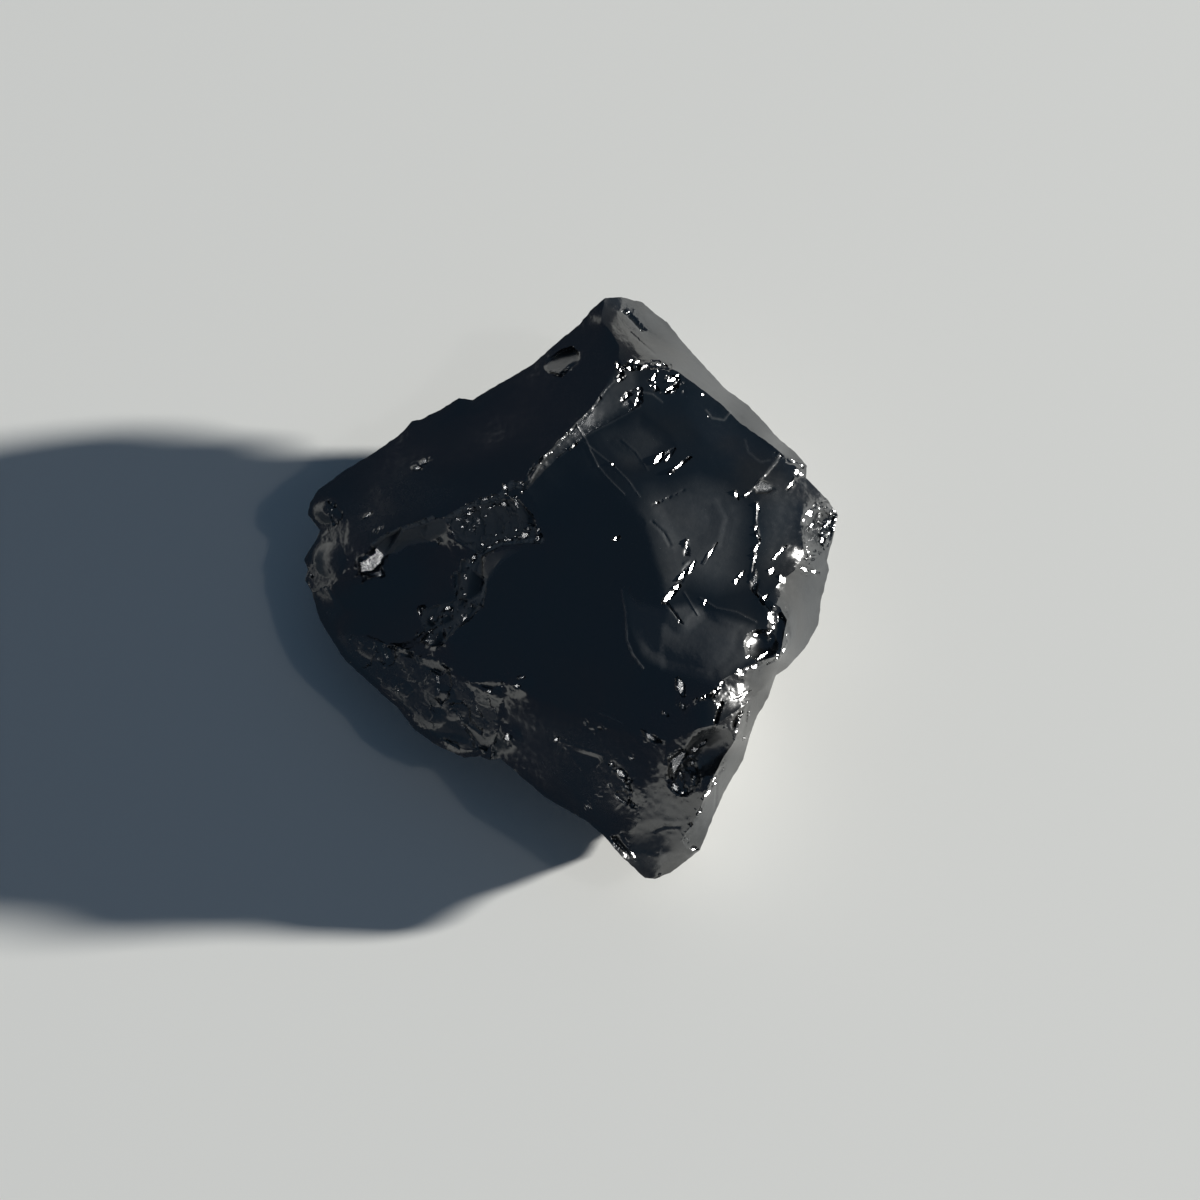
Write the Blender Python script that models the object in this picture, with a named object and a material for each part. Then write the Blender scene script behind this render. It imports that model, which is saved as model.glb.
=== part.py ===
"""Shungite nugget: a broken lump of black, glassy stone about 27 mm across.

The stone is closed from two sheets that share one rim. The upper sheet carries every face that
shows from the viewing side. The lower sheet carries the walls under the rim and the flat face the
stone rests on. Ridges of the upper sheet are given where they appear in the view, each point with
its height above the ground, and are then set back along the line of sight to their place in space.
"""

from math import cos, radians, sin

import bpy
import numpy as np
from mathutils import Vector, noise
from mathutils.geometry import delaunay_2d_cdt

# View that the rim and ridge positions are read in
PIXELS_PER_MM = 20.0
PICTURE_CENTRE = (600.0, 600.0)
VIEW_TILT = radians(25.0)
VIEW_DISTANCE = 330.0

# Mesh: lengths in picture units
FACE_EDGE = 10.0
SEED = 41
RIM_WOBBLE = 0.6
RIDGE_WOBBLE = 1.0
NET_JITTER = 0.16
NET_CLEARANCE = 0.62
RIM_CLEARANCE = 0.4
ROW_STEP = 0.866
SMOOTHING_ROUNDS = 6
WALL_ROUNDS = 12
WALL_FACING = 0.45
RIM_BLEND = 14.0
FOOT_BLEND = 16.0
FOOT_STEP = 4.0
HOLLOW_WALL = 13.0
MM = 0.001

# Surface unrest of a natural fracture, in mm
SWELL_HEIGHT = 0.07
SWELL_LENGTH = 4.2
GRAIN_HEIGHT = 0.03
GRAIN_LENGTH = 1.3
WALL_SWELL = 2.5

# Rim: across and down in the picture, height in mm, clockwise from the top corner
RIM = [
    (600, 302, 9.0), (605, 298, 9.0), (621, 297, 8.3), (642, 302, 7.2), (657, 315, 6.4),
    (667, 322, 6.3), (681, 340, 6.6), (697, 358, 7.0), (720, 383, 7.4), (728, 391, 7.5),
    (748, 405, 7.5), (765, 423, 7.7), (780, 440, 7.9), (795, 452, 8.1), (807, 466, 8.2),
    (806, 478, 8.6), (820, 492, 8.2), (828, 500, 7.8), (838, 515, 7.0), (833, 538, 6.7),
    (827, 560, 7.0), (829, 570, 6.6), (821, 600, 6.4), (818, 625, 6.3), (805, 648, 6.6),
    (787, 668, 7.2), (776, 675, 7.4), (768, 698, 7.8), (757, 716, 7.7), (750, 735, 7.3),
    (743, 760, 6.7), (728, 785, 6.1), (717, 808, 5.5), (705, 838, 4.4), (700, 850, 3.8),
    (682, 864, 3.0), (670, 873, 2.9), (655, 879, 3.05), (645, 878, 3.3), (622, 857, 4.35),
    (603, 835, 4.95), (585, 820, 5.2), (560, 806, 5.1), (545, 797, 4.95), (525, 780, 4.6),
    (500, 758, 4.2), (490, 760, 3.6), (480, 756, 3.6), (465, 758, 3.4), (440, 747, 3.5),
    (415, 730, 3.5), (398, 708, 3.4), (370, 683, 3.4), (345, 660, 3.3), (332, 640, 3.2),
    (320, 620, 3.0), (312, 592, 2.9), (305, 580, 2.8), (308, 570, 2.8), (304, 560, 2.9),
    (308, 552, 3.0), (316, 540, 3.3), (320, 530, 3.4), (308, 515, 3.5), (310, 503, 3.7),
    (318, 490, 4.0), (345, 470, 4.5), (375, 452, 5.0), (398, 436, 5.3), (412, 421, 5.6),
    (422, 419, 5.7), (440, 410, 6.0), (459, 398, 6.5), (473, 400, 6.6), (490, 389, 6.85),
    (508, 379, 7.15), (533, 364, 7.5), (560, 340, 8.0), (580, 324, 8.3), (590, 311, 8.7),
]

# Ridges and steps of the upper sheet, read like the rim
RIDGES = {
    "apex_edge": [(605, 298, 9.0), (601, 320, 9.3), (612, 333, 9.4), (619, 345, 9.5), (619, 362, 9.7)],
    "steep_facet_top": [
        (619, 362, 9.7), (640, 364, 9.8), (668, 367, 9.7), (680, 373, 9.6), (700, 388, 9.5),
        (720, 403, 9.5), (740, 423, 9.4), (765, 440, 9.3), (780, 452, 9.3), (800, 470, 8.9),
        (806, 478, 8.6),
    ],
    "band_left": [
        (619, 362, 9.7), (605, 388, 9.9), (590, 410, 9.9), (575, 424, 9.85), (555, 445, 9.7),
        (545, 455, 9.55), (530, 480, 9.2), (523, 486, 9.0),
    ],
    "band_right": [
        (640, 364, 9.8), (640, 405, 9.75), (615, 418, 9.6), (590, 432, 9.45), (580, 440, 9.35),
        (560, 455, 9.2), (545, 470, 9.1), (527, 490, 8.9), (523, 486, 9.0),
    ],
    "scarp_top": [
        (523, 486, 9.0), (512, 484, 8.7), (500, 497, 8.4), (480, 500, 8.0), (463, 508, 7.6),
        (447, 517, 7.2), (430, 518, 6.9), (418, 522, 6.7), (400, 530, 6.3), (385, 536, 6.0),
        (372, 545, 5.7), (360, 556, 5.3), (345, 572, 4.6), (328, 590, 3.8), (312, 592, 2.9),
    ],
    "rough_facet_edge": [
        (527, 490, 8.9), (536, 505, 8.9), (541, 525, 8.8), (540, 540, 8.6), (515, 541, 8.0),
        (500, 543, 7.6), (480, 553, 6.9), (463, 570, 6.1), (456, 585, 5.7), (457, 600, 5.5),
        (445, 608, 5.3), (440, 620, 5.2), (428, 628, 5.0), (415, 638, 4.8), (402, 641, 4.5),
        (388, 643, 4.3),
    ],
    "pocket_brink": [
        (540, 540, 8.6), (500, 560, 8.0), (486, 580, 7.6), (481, 603, 7.3), (463, 622, 6.9),
        (447, 640, 6.6), (430, 655, 5.6),
    ],
    "pocket_scarp_foot": [
        (364, 582, 4.0), (386, 572, 4.5), (388, 556, 4.9), (402, 542, 5.3), (420, 538, 5.7),
        (438, 543, 5.8),
    ],
    "shelf_ledge": [
        (388, 643, 4.3), (408, 650, 5.0), (430, 655, 5.6), (455, 673, 5.9), (475, 684, 6.2),
        (500, 680, 6.8), (520, 690, 7.0), (545, 700, 7.3), (575, 712, 7.7), (600, 722, 8.1),
        (640, 735, 8.8), (668, 742, 9.4),
    ],
    "shelf_left": [(388, 643, 4.3), (368, 640, 3.9), (350, 628, 3.5), (336, 610, 3.3), (328, 590, 3.8)],
    "shelf_low": [
        (388, 643, 4.3), (400, 668, 4.4), (425, 690, 4.7), (445, 708, 4.7), (458, 722, 4.5),
        (472, 738, 4.2), (482, 750, 3.9), (490, 760, 3.6),
    ],
    "shelf_root": [(500, 680, 6.8), (505, 705, 5.9), (500, 727, 5.1), (492, 745, 4.2), (490, 760, 3.6)],
    "plateau_divide": [
        (580, 440, 9.35), (598, 468, 9.6), (624, 494, 9.9), (645, 520, 10.15), (652, 545, 10.25),
        (664, 580, 10.3), (665, 605, 10.2), (660, 650, 10.05), (672, 690, 9.95), (680, 720, 10.0),
    ],
    "right_bevel": [(780, 452, 9.3), (760, 478, 9.8), (745, 497, 10.1)],
    "jagged_crack": [
        (745, 497, 10.1), (757, 503, 10.15), (756, 520, 10.15), (760, 540, 10.15), (755, 552, 10.15),
        (750, 580, 10.25), (766, 598, 10.5),
    ],
    "rim_facet_top": [
        (827, 560, 7.0), (815, 572, 8.1), (795, 570, 9.5), (783, 580, 10.1), (766, 598, 10.5),
        (780, 607, 10.5), (787, 620, 10.3), (783, 640, 10.2), (780, 655, 10.1), (750, 665, 10.6),
        (722, 680, 10.9), (712, 697, 10.9), (700, 700, 10.8), (680, 720, 10.0), (668, 742, 9.4),
    ],
    "rim_facet_foot": [
        (668, 742, 9.4), (700, 728, 10.5), (715, 725, 10.6), (730, 715, 10.5), (745, 705, 10.0),
    ],
    "strip_top": [
        (776, 675, 7.4), (765, 685, 8.8), (745, 705, 10.0), (735, 740, 9.7), (722, 760, 9.2),
        (705, 795, 8.0), (700, 810, 6.9), (682, 840, 5.0), (690, 855, 3.8), (700, 850, 3.8),
    ],
    "tip_crest": [
        (668, 742, 9.4), (663, 765, 8.5), (666, 790, 7.3), (658, 812, 6.1), (655, 832, 5.1),
        (660, 850, 4.4), (658, 866, 3.55), (655, 879, 3.05),
    ],
    "rim_notch_crest": [(838, 515, 7.0), (815, 508, 8.5), (803, 520, 9.2), (803, 545, 9.4), (815, 572, 8.1)],
}

# Single heights inside the faces: across, down, height
SPOTS = [
    (410, 585, 4.3), (400, 612, 4.1), (425, 575, 4.6), (470, 587, 6.2), (490, 520, 7.6),
    (345, 520, 4.7), (370, 500, 5.5), (420, 470, 6.8), (480, 450, 7.9), (350, 600, 3.4),
    (540, 400, 8.5), (430, 735, 3.6), (380, 665, 3.8), (632, 848, 4.2), (640, 825, 5.4),
    (560, 560, 9.3), (540, 640, 8.5), (600, 660, 9.2), (700, 440, 9.9), (790, 500, 9.6),
    (790, 540, 9.8), (735, 610, 10.4), (700, 560, 10.2), (690, 520, 10.15), (725, 790, 6.2),
    (640, 345, 8.8),
]

# Conchoidal scoops and worn knobs: across, down, half lengths, turn, depth in mm (knobs negative)
SCOOPS = [
    (708, 752, 30, 21, -45, 0.80), (683, 776, 17, 21, 0, 0.55), (761, 645, 17, 16, 0, 0.60),
    (779, 626, 11, 27, 8, 0.45), (819, 532, 15, 25, 8, 0.70), (562, 361, 24, 13, -35, 0.12),
    (488, 521, 36, 18, -12, 0.35), (600, 790, 44, 24, 40, 0.08), (655, 838, 26, 18, 0, 0.15),
    (396, 690, 18, 13, 20, -0.22), (440, 696, 16, 12, 10, -0.20), (454, 710, 14, 11, 0, -0.16),
    (430, 718, 17, 12, 0, -0.22), (490, 694, 16, 13, 0, -0.20), (508, 738, 15, 14, 0, -0.20),
    (450, 746, 28, 12, 12, -0.25), (372, 648, 20, 12, 25, -0.20), (330, 560, 16, 18, 0, -0.30),
    (325, 510, 18, 14, 0, -0.30), (352, 628, 16, 20, 20, -0.20), (520, 686, 14, 11, 0, -0.16),
]

# Wide shallow swales that fade out softly, given like the scoops
SWALES = [
    (560, 600, 100, 130, 10, 0.45), (735, 428, 60, 30, 35, 0.30), (470, 430, 90, 40, -32, 0.22),
    (365, 505, 40, 26, 30, 0.25), (645, 335, 50, 18, 48, 0.15),
]

# Shallow hollows with an edge all round: outline, depth in mm
HOLLOWS = [
    ([(592, 434), (615, 420), (641, 410), (660, 425), (672, 435), (677, 447), (662, 460), (655, 470),
      (638, 474), (616, 466), (600, 452)], 0.10),
    ([(648, 500), (668, 492), (692, 488), (716, 500), (724, 518), (718, 540), (700, 552), (676, 552),
      (660, 536)], 0.07),
    ([(623, 586), (640, 600), (662, 604), (682, 622), (704, 600), (722, 612), (752, 622), (748, 652),
      (736, 670), (716, 684), (690, 678), (664, 672), (643, 658), (630, 630)], 0.12),
]

# Lower sheet, in mm: corners of the flat face it rests on, the chamfer round it, and the shoulder
# halfway up the hidden walls
FOOT = [
    (-7.6, -3.6), (-4.6, -6.2), (-0.6, -9.6), (2.2, -11.4), (4.6, -9.8), (6.2, -6.2), (7.2, -2.0),
    (6.4, 2.4), (3.6, 5.6), (-0.6, 6.6), (-4.8, 4.8), (-8.2, 2.6), (-9.6, -0.4),
]
HEEL = [
    (-7.9, -5.2, 0.5), (-3.6, -8.0, 0.4), (0.4, -11.6, 0.45), (2.6, -13.6, 0.8), (4.9, -12.4, 0.9),
    (7.1, -7.4, 1.2), (8.9, -2.8, 1.5), (8.3, 2.2, 1.7), (5.2, 6.6, 1.6), (0.8, 8.8, 1.9),
    (-4.4, 7.0, 1.5), (-9.0, 4.4, 1.2), (-12.0, 1.0, 0.9), (-11.6, -1.8, 0.8),
]
SHOULDER = [
    (10.9, -1.6, 4.4), (10.5, 1.6, 4.9), (7.9, 5.7, 4.6), (5.0, 9.0, 4.0), (2.4, 11.2, 4.4),
    (0.2, 11.6, 5.2), (-3.4, 9.4, 4.2), (-7.2, 7.2, 3.1), (-10.9, 5.2, 2.4), (-13.6, 2.5, 1.7),
    (-14.0, -0.4, 1.2),
]

# Scoops of the hidden walls, read in the same view as the rim
WALL_SCOOPS = [
    (560, 400, 60, 34, -32, 0.9), (700, 430, 56, 40, 40, 0.8), (775, 520, 30, 44, 0, 0.7),
    (430, 480, 56, 26, -30, 0.7), (350, 560, 24, 30, 0, 0.5), (640, 380, 40, 26, 20, 0.6),
    (770, 620, 22, 34, 10, 0.5),
]


def place(across, down, height):
    """Set picture positions back along the line of sight to the given heights, in mm."""
    u = (np.asarray(across, float) - PICTURE_CENTRE[0]) / PIXELS_PER_MM
    v = (PICTURE_CENTRE[1] - np.asarray(down, float)) / PIXELS_PER_MM
    u, v = u / VIEW_DISTANCE, v / VIEW_DISTANCE
    ray = (VIEW_DISTANCE * cos(VIEW_TILT) - height) / (cos(VIEW_TILT) - v * sin(VIEW_TILT))
    x = ray * u
    y = ray * (sin(VIEW_TILT) + v * cos(VIEW_TILT)) - VIEW_DISTANCE * sin(VIEW_TILT)
    return np.stack([x, y, np.asarray(height, float) + 0.0 * x], axis=-1)


def seen(x, y, z):
    """Picture position of a point in space given in mm."""
    depth = VIEW_DISTANCE - (z * cos(VIEW_TILT) - y * sin(VIEW_TILT))
    across = x * VIEW_DISTANCE / depth
    up = (y * cos(VIEW_TILT) + z * sin(VIEW_TILT)) * VIEW_DISTANCE / depth
    return (PICTURE_CENTRE[0] + across * PIXELS_PER_MM, PICTURE_CENTRE[1] - up * PIXELS_PER_MM, z)


def nearest(point, others):
    """The one of the other points that appears closest in the picture."""
    return min(others, key=lambda other: (other[0] - point[0]) ** 2 + (other[1] - point[1]) ** 2)


def resample(line, spacing, wobble, rng):
    """Split a ridge into steps of about the given spacing, with a little sideways wander."""
    points = [line[0]]
    for a, b in zip(line, line[1:]):
        a, b = np.array(a, float), np.array(b, float)
        length = np.hypot(*(b - a)[:2])
        count = max(1, round(length / spacing))
        across = np.array([a[1] - b[1], b[0] - a[0]]) / max(length, 1e-6)
        for k in range(1, count):
            p = a + (b - a) * k / count
            p[:2] += across * wobble * rng.uniform(-1.0, 1.0)
            points.append(tuple(p))
        points.append(tuple(b))
    return points


def inside(xy, ring):
    """Which positions lie inside the closed ring."""
    px, py = xy[:, 0], xy[:, 1]
    hit = np.zeros(len(xy), bool)
    for (ax, ay), (bx, by) in zip(ring, ring[1:] + ring[:1]):
        if ay == by:
            continue
        crosses = (ay > py) != (by > py)
        hit ^= crosses & (px < (bx - ax) * (py - ay) / (by - ay) + ax)
    return hit


def distance_to(xy, others):
    """Distance of each position to the nearest of some points."""
    others = np.array([p[:2] for p in others])
    return np.sqrt(((xy[:, None, :] - others[None, :, :]) ** 2).sum(2).min(1))


def line_distance(xy, line):
    """Distance of each position to a line of straight pieces."""
    gap = np.full(len(xy), np.inf)
    for a, b in zip(line, line[1:]):
        a, b = np.array(a, float), np.array(b, float)
        along = b - a
        t = np.clip(((xy - a) @ along) / (along @ along), 0.0, 1.0)
        gap = np.minimum(gap, np.hypot(*(xy - a - t[:, None] * along).T))
    return gap


def ring_depth(xy, ring):
    """How far each position lies inside the ring, below zero outside it."""
    edge = line_distance(xy, ring + ring[:1])
    return np.where(inside(xy, ring), edge, -edge)


def clear_of_rim(line, rim, margin):
    """Drop the points of a ridge that wander over the rim, but keep those shared with it."""
    xy = np.array([p[:2] for p in line])
    gap = distance_to(xy, rim)
    keep = (gap < 0.01) | ((gap > margin) & inside(xy, [p[:2] for p in rim]))
    return [p for p, kept in zip(line, keep) if kept]


class Sheet:
    """Triangulated sheet over the picture with a height for each point."""

    def __init__(self, rim, lines, spots):
        self.keys = {}
        self.points = []
        self.heights = []
        self.edges = []
        rim_ids = [self.add(p) for p in rim]
        self.rim_size = len(rim_ids)
        self.edges += list(zip(rim_ids, rim_ids[1:] + rim_ids[:1]))
        for line in lines:
            ids = [self.add(p) for p in line]
            self.edges += [(a, b) for a, b in zip(ids, ids[1:]) if a != b]
        for spot in spots:
            self.add(spot)

    def add(self, point):
        """Number of the point, which is new unless one already lies there."""
        key = (round(point[0], 2), round(point[1], 2))
        if key not in self.keys:
            self.keys[key] = len(self.points)
            self.points.append(Vector(point[:2]))
            self.heights.append(float(point[2]))
        return self.keys[key]

    def triangulate(self):
        """Positions, heights and triangles inside the rim."""
        rim = [list(range(self.rim_size))]
        points, _, faces, source, _, _ = delaunay_2d_cdt(self.points, self.edges, rim, 1, 1e-6)
        heights = np.array([self.heights[origin[0]] if origin else np.nan for origin in source])
        xy = np.array([(p.x, p.y) for p in points])
        faces = np.array([f for f in faces if len(f) == 3])
        return xy, fill_crossings(heights, faces), faces


def fill_crossings(z, faces):
    """Give points made where two lines cross the mean height of their neighbours."""
    for index in np.flatnonzero(~np.isfinite(z)):
        around = np.unique(faces[(faces == index).any(1)])
        z[index] = np.nanmean(z[around])
    return z


def heights_between(xy, base_xy, base_heights, base_faces):
    """Read heights off a coarse triangulation at many positions."""
    out = np.full(len(xy), np.nan)
    for a, b, c in base_faces:
        pa, pb, pc = base_xy[a], base_xy[b], base_xy[c]
        area = (pb[0] - pa[0]) * (pc[1] - pa[1]) - (pc[0] - pa[0]) * (pb[1] - pa[1])
        if abs(area) < 1e-9:
            continue
        wb = ((xy[:, 0] - pa[0]) * (pc[1] - pa[1]) - (pc[0] - pa[0]) * (xy[:, 1] - pa[1])) / area
        wc = ((pb[0] - pa[0]) * (xy[:, 1] - pa[1]) - (xy[:, 0] - pa[0]) * (pb[1] - pa[1])) / area
        wa = 1.0 - wb - wc
        hit = (wa > -0.02) & (wb > -0.02) & (wc > -0.02)
        out[hit] = wa[hit] * base_heights[a] + wb[hit] * base_heights[b] + wc[hit] * base_heights[c]
    return out


def net(low, high, rng):
    """Slightly uneven net of positions over a box."""
    row_step = FACE_EDGE * ROW_STEP
    row_count = int((high[1] - low[1]) / row_step) + 1
    col_count = int((high[0] - low[0]) / FACE_EDGE) + 1
    rows, cols = np.mgrid[0:row_count, 0:col_count]
    across = low[0] + (cols + 0.5 * (rows % 2)) * FACE_EDGE
    down = low[1] + rows * row_step
    xy = np.stack([across, down], axis=-1).reshape(-1, 2)
    return xy + rng.uniform(-NET_JITTER, NET_JITTER, xy.shape) * FACE_EDGE


def build_sheet(rim, lines, spots, seed):
    """Fill the rim with a net of even triangles that follows the ridges."""
    rng = np.random.default_rng(seed)
    coarse_xy, coarse_z, coarse_faces = Sheet(rim, lines, spots).triangulate()

    rim_rng = np.random.default_rng(SEED)
    fine_rim = resample(rim + [rim[0]], FACE_EDGE, RIM_WOBBLE, rim_rng)[:-1]
    fine_lines = [resample(line, FACE_EDGE, RIDGE_WOBBLE, rng) for line in lines]
    fine_lines = [clear_of_rim(line, fine_rim, RIM_CLEARANCE * FACE_EDGE) for line in fine_lines]
    held = fine_rim + [p for line in fine_lines for p in line]

    held_xy = np.array([p[:2] for p in held])
    grid = net(held_xy.min(0), held_xy.max(0), rng)
    grid = grid[inside(grid, [p[:2] for p in fine_rim])]
    grid = grid[distance_to(grid, held) > NET_CLEARANCE * FACE_EDGE]
    grid_z = heights_between(grid, coarse_xy, coarse_z, coarse_faces)
    free = [(x, y, z) for (x, y), z in zip(grid, grid_z) if np.isfinite(z)]

    xy, z, faces = Sheet(fine_rim, fine_lines, free).triangulate()
    held_keys = {(round(p[0], 2), round(p[1], 2)) for p in held}
    loose = np.array([(round(x, 2), round(y, 2)) not in held_keys for x, y in xy])
    return xy, relax(z, faces, loose), faces, len(fine_rim), loose


def edge_pairs(faces):
    """The two ends of every edge, each edge once."""
    pairs = np.concatenate([faces[:, [0, 1]], faces[:, [1, 2]], faces[:, [2, 0]]])
    return np.unique(np.sort(pairs, axis=1), axis=0)


def relax(z, faces, loose):
    """Let the free points sink to the mean of their neighbours, so faces curve softly."""
    pairs = edge_pairs(faces)
    count = np.maximum(np.bincount(pairs.ravel(), minlength=len(z)), 1)
    for _ in range(SMOOTHING_ROUNDS):
        total = np.bincount(pairs[:, 0], z[pairs[:, 1]], len(z))
        total += np.bincount(pairs[:, 1], z[pairs[:, 0]], len(z))
        z = np.where(loose, 0.5 * z + 0.5 * total / count, z)
    return z


def scoop_depth(xy, scoops, softness=1):
    """Depth taken away by the scoops at each position."""
    depth = np.zeros(len(xy))
    for across, down, long_half, short_half, turn, deepest in scoops:
        dx, dy = xy[:, 0] - across, xy[:, 1] - down
        c, s = cos(radians(turn)), sin(radians(turn))
        r2 = ((dx * c + dy * s) / long_half) ** 2 + ((dy * c - dx * s) / short_half) ** 2
        depth += deepest * np.clip(1.0 - r2, 0.0, None) ** softness
    return depth


def hollow_depth(xy, hollows):
    """Depth of the edged hollows at each position."""
    depth = np.zeros(len(xy))
    for ring, deepest in hollows:
        depth += deepest * np.clip(ring_depth(xy, ring) / HOLLOW_WALL, 0.0, 1.0)
    return depth


def unrest(points, height, length, offset):
    """Smooth seeded swell of a fracture surface."""
    shift = Vector((offset, 3.1, 7.7))
    return np.array([noise.noise(Vector(p) / length + shift) * height for p in points])


def upper_sheet():
    """Every face that shows from the viewing side."""
    xy, z, faces, rim_size, loose = build_sheet(RIM, list(RIDGES.values()), SPOTS, SEED + 1)
    fade = np.clip(distance_to(xy, xy[:rim_size]) / RIM_BLEND, 0.0, 1.0)
    depth = scoop_depth(xy, SCOOPS) + scoop_depth(xy, SWALES, 2) + hollow_depth(xy, HOLLOWS)
    z = z - depth * fade
    points = place(xy[:, 0], xy[:, 1], z)
    lift = unrest(points, SWELL_HEIGHT, SWELL_LENGTH, 0.0)
    lift += unrest(points, GRAIN_HEIGHT, GRAIN_LENGTH, 5.0)
    return place(xy[:, 0], xy[:, 1], z + lift * fade), faces, rim_size, loose


def lower_sheet():
    """Walls under the rim and the flat face the stone rests on."""
    foot = [seen(x, y, 0.0) for x, y in FOOT]
    heel = [seen(*p) for p in HEEL]
    shoulder = [seen(*p) for p in SHOULDER]
    lines = [foot + foot[:1], heel + heel[:1], shoulder]
    lines += [[corner, nearest(corner, RIM)] for corner in shoulder]
    lines += [[corner, nearest(corner, shoulder + RIM)] for corner in heel]
    lines += [[corner, nearest(corner, heel)] for corner in foot]
    xy, z, faces, rim_size, loose = build_sheet(RIM, lines, [], SEED + 2)
    fade = np.clip(distance_to(xy, xy[:rim_size]) / RIM_BLEND, 0.0, 1.0)
    foot_line = resample(foot + foot[:1], FOOT_STEP, 0.0, np.random.default_rng(SEED))
    off_foot = np.clip(distance_to(xy, foot_line) / FOOT_BLEND, 0.0, 1.0)
    on_foot = inside(xy, [p[:2] for p in foot])
    points = place(xy[:, 0], xy[:, 1], z)
    lift = unrest(points, WALL_SWELL * SWELL_HEIGHT, SWELL_LENGTH, 9.0) + scoop_depth(xy, WALL_SCOOPS)
    z = np.where(on_foot, 0.0, z + lift * fade * off_foot)
    return place(xy[:, 0], xy[:, 1], np.maximum(z, 0.0)), faces, rim_size, loose | ~on_foot


def even_walls(points, faces, loose):
    """Even out the walls that run along the line of sight, where the net is drawn out long."""
    sight = np.array([0.0, -sin(VIEW_TILT), cos(VIEW_TILT)])
    pairs = edge_pairs(faces)
    count = np.bincount(pairs.ravel(), minlength=len(points))[:, None]
    for _ in range(WALL_ROUNDS):
        a, b, c = (points[faces[:, k]] for k in range(3))
        face_normals = np.cross(b - a, c - a)
        normals = np.zeros_like(points)
        for k in range(3):
            np.add.at(normals, faces[:, k], face_normals)
        facing = np.abs(normals @ sight) / np.maximum(np.linalg.norm(normals, axis=1), 1e-9)
        weight = np.clip((WALL_FACING - facing) / WALL_FACING, 0.0, 1.0) * loose
        total = np.zeros_like(points)
        np.add.at(total, pairs[:, 0], points[pairs[:, 1]])
        np.add.at(total, pairs[:, 1], points[pairs[:, 0]])
        points = points + (total / count - points) * weight[:, None]
    return points


def nugget_mesh():
    """Join the two sheets along the rim into one closed mesh resting on z = 0."""
    top, top_faces, rim_size, top_loose = upper_sheet()
    low, low_faces, _, low_loose = lower_sheet()
    points = np.concatenate([top, low[rim_size:]])
    shifted = np.where(low_faces < rim_size, low_faces, low_faces + len(top) - rim_size)
    joined = np.concatenate([top_faces[:, ::-1], shifted])
    loose = np.concatenate([top_loose, low_loose[rim_size:]]) & (points[:, 2] > MM)
    points = even_walls(points, joined, loose)
    centre = (points.min(0) + points.max(0)) / 2.0
    points = points - [centre[0], centre[1], points[:, 2].min()]
    mesh = bpy.data.meshes.new("nugget")
    mesh.from_pydata((points * MM).tolist(), [], joined.tolist())
    mesh.update()
    return mesh


def shungite_material():
    """Glassy black carbon."""
    material = bpy.data.materials.new("shungite")
    material.use_nodes = True
    shader = material.node_tree.nodes["Principled BSDF"]
    shader.inputs["Base Color"].default_value = (0.010, 0.011, 0.013, 1.0)
    shader.inputs["Metallic"].default_value = 0.0
    shader.inputs["Roughness"].default_value = 0.12
    return material


def main():
    for item in list(bpy.data.objects):
        bpy.data.objects.remove(item)
    nugget = bpy.data.objects.new("nugget", nugget_mesh())
    nugget.data.materials.append(shungite_material())
    bpy.context.collection.objects.link(nugget)


main()
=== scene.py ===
"""Shungite nugget on a pale sheet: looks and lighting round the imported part."""

from math import cos, degrees, pi, radians, sin

import bpy
import numpy as np
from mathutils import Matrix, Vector, kdtree, noise
from mathutils.bvhtree import BVHTree
from mathutils.geometry import delaunay_2d_cdt


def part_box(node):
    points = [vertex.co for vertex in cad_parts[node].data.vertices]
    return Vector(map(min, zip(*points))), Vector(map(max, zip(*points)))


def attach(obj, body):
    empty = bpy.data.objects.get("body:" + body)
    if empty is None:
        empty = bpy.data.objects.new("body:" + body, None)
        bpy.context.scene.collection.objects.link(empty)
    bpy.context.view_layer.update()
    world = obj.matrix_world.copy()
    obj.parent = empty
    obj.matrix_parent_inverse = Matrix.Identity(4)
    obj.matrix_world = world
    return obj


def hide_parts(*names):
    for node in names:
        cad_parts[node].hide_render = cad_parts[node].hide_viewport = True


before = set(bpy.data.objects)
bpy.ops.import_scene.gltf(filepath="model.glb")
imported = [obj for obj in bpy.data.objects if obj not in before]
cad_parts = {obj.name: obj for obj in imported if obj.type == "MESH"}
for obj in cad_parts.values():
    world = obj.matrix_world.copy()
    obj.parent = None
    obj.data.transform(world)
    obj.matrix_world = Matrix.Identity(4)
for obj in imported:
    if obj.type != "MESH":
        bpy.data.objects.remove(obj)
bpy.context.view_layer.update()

# View that the rim and ridge positions are read in
PIXELS_PER_MM = 20.0
PICTURE_SIZE_MM = 60.0
PICTURE_CENTRE = (600.0, 600.0)
VIEW_TILT = radians(25.0)
VIEW_DISTANCE = 330.0
SENSOR_WIDTH = 36.0
CLIP_START = 0.01

# One mm in the scene
MM = 0.001

# Light
KEY_HEIGHT = radians(14.5)
KEY_TURN = radians(7.5)
KEY_DISTANCE = 2.5
KEY_SIZE = 0.16
KEY_POWER = 165.0
KEY_COLOUR = (1.0, 0.985, 0.95)

# Fill panel with a small hot middle, high enough to reach the faces that turn from the key light
FILL_HEIGHT = radians(50.0)
FILL_TURN = radians(-20.0)
FILL_DISTANCE = 2.5
PANEL_SIZE = 0.62
PANEL_POWER = 0.85
CORE_SIZE = 0.13
CORE_POWER = 1.6
CORE_AHEAD = 0.02
PANEL_COLOUR = (0.93, 0.96, 1.0)
CORE_COLOUR = (1.0, 0.99, 0.97)

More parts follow.
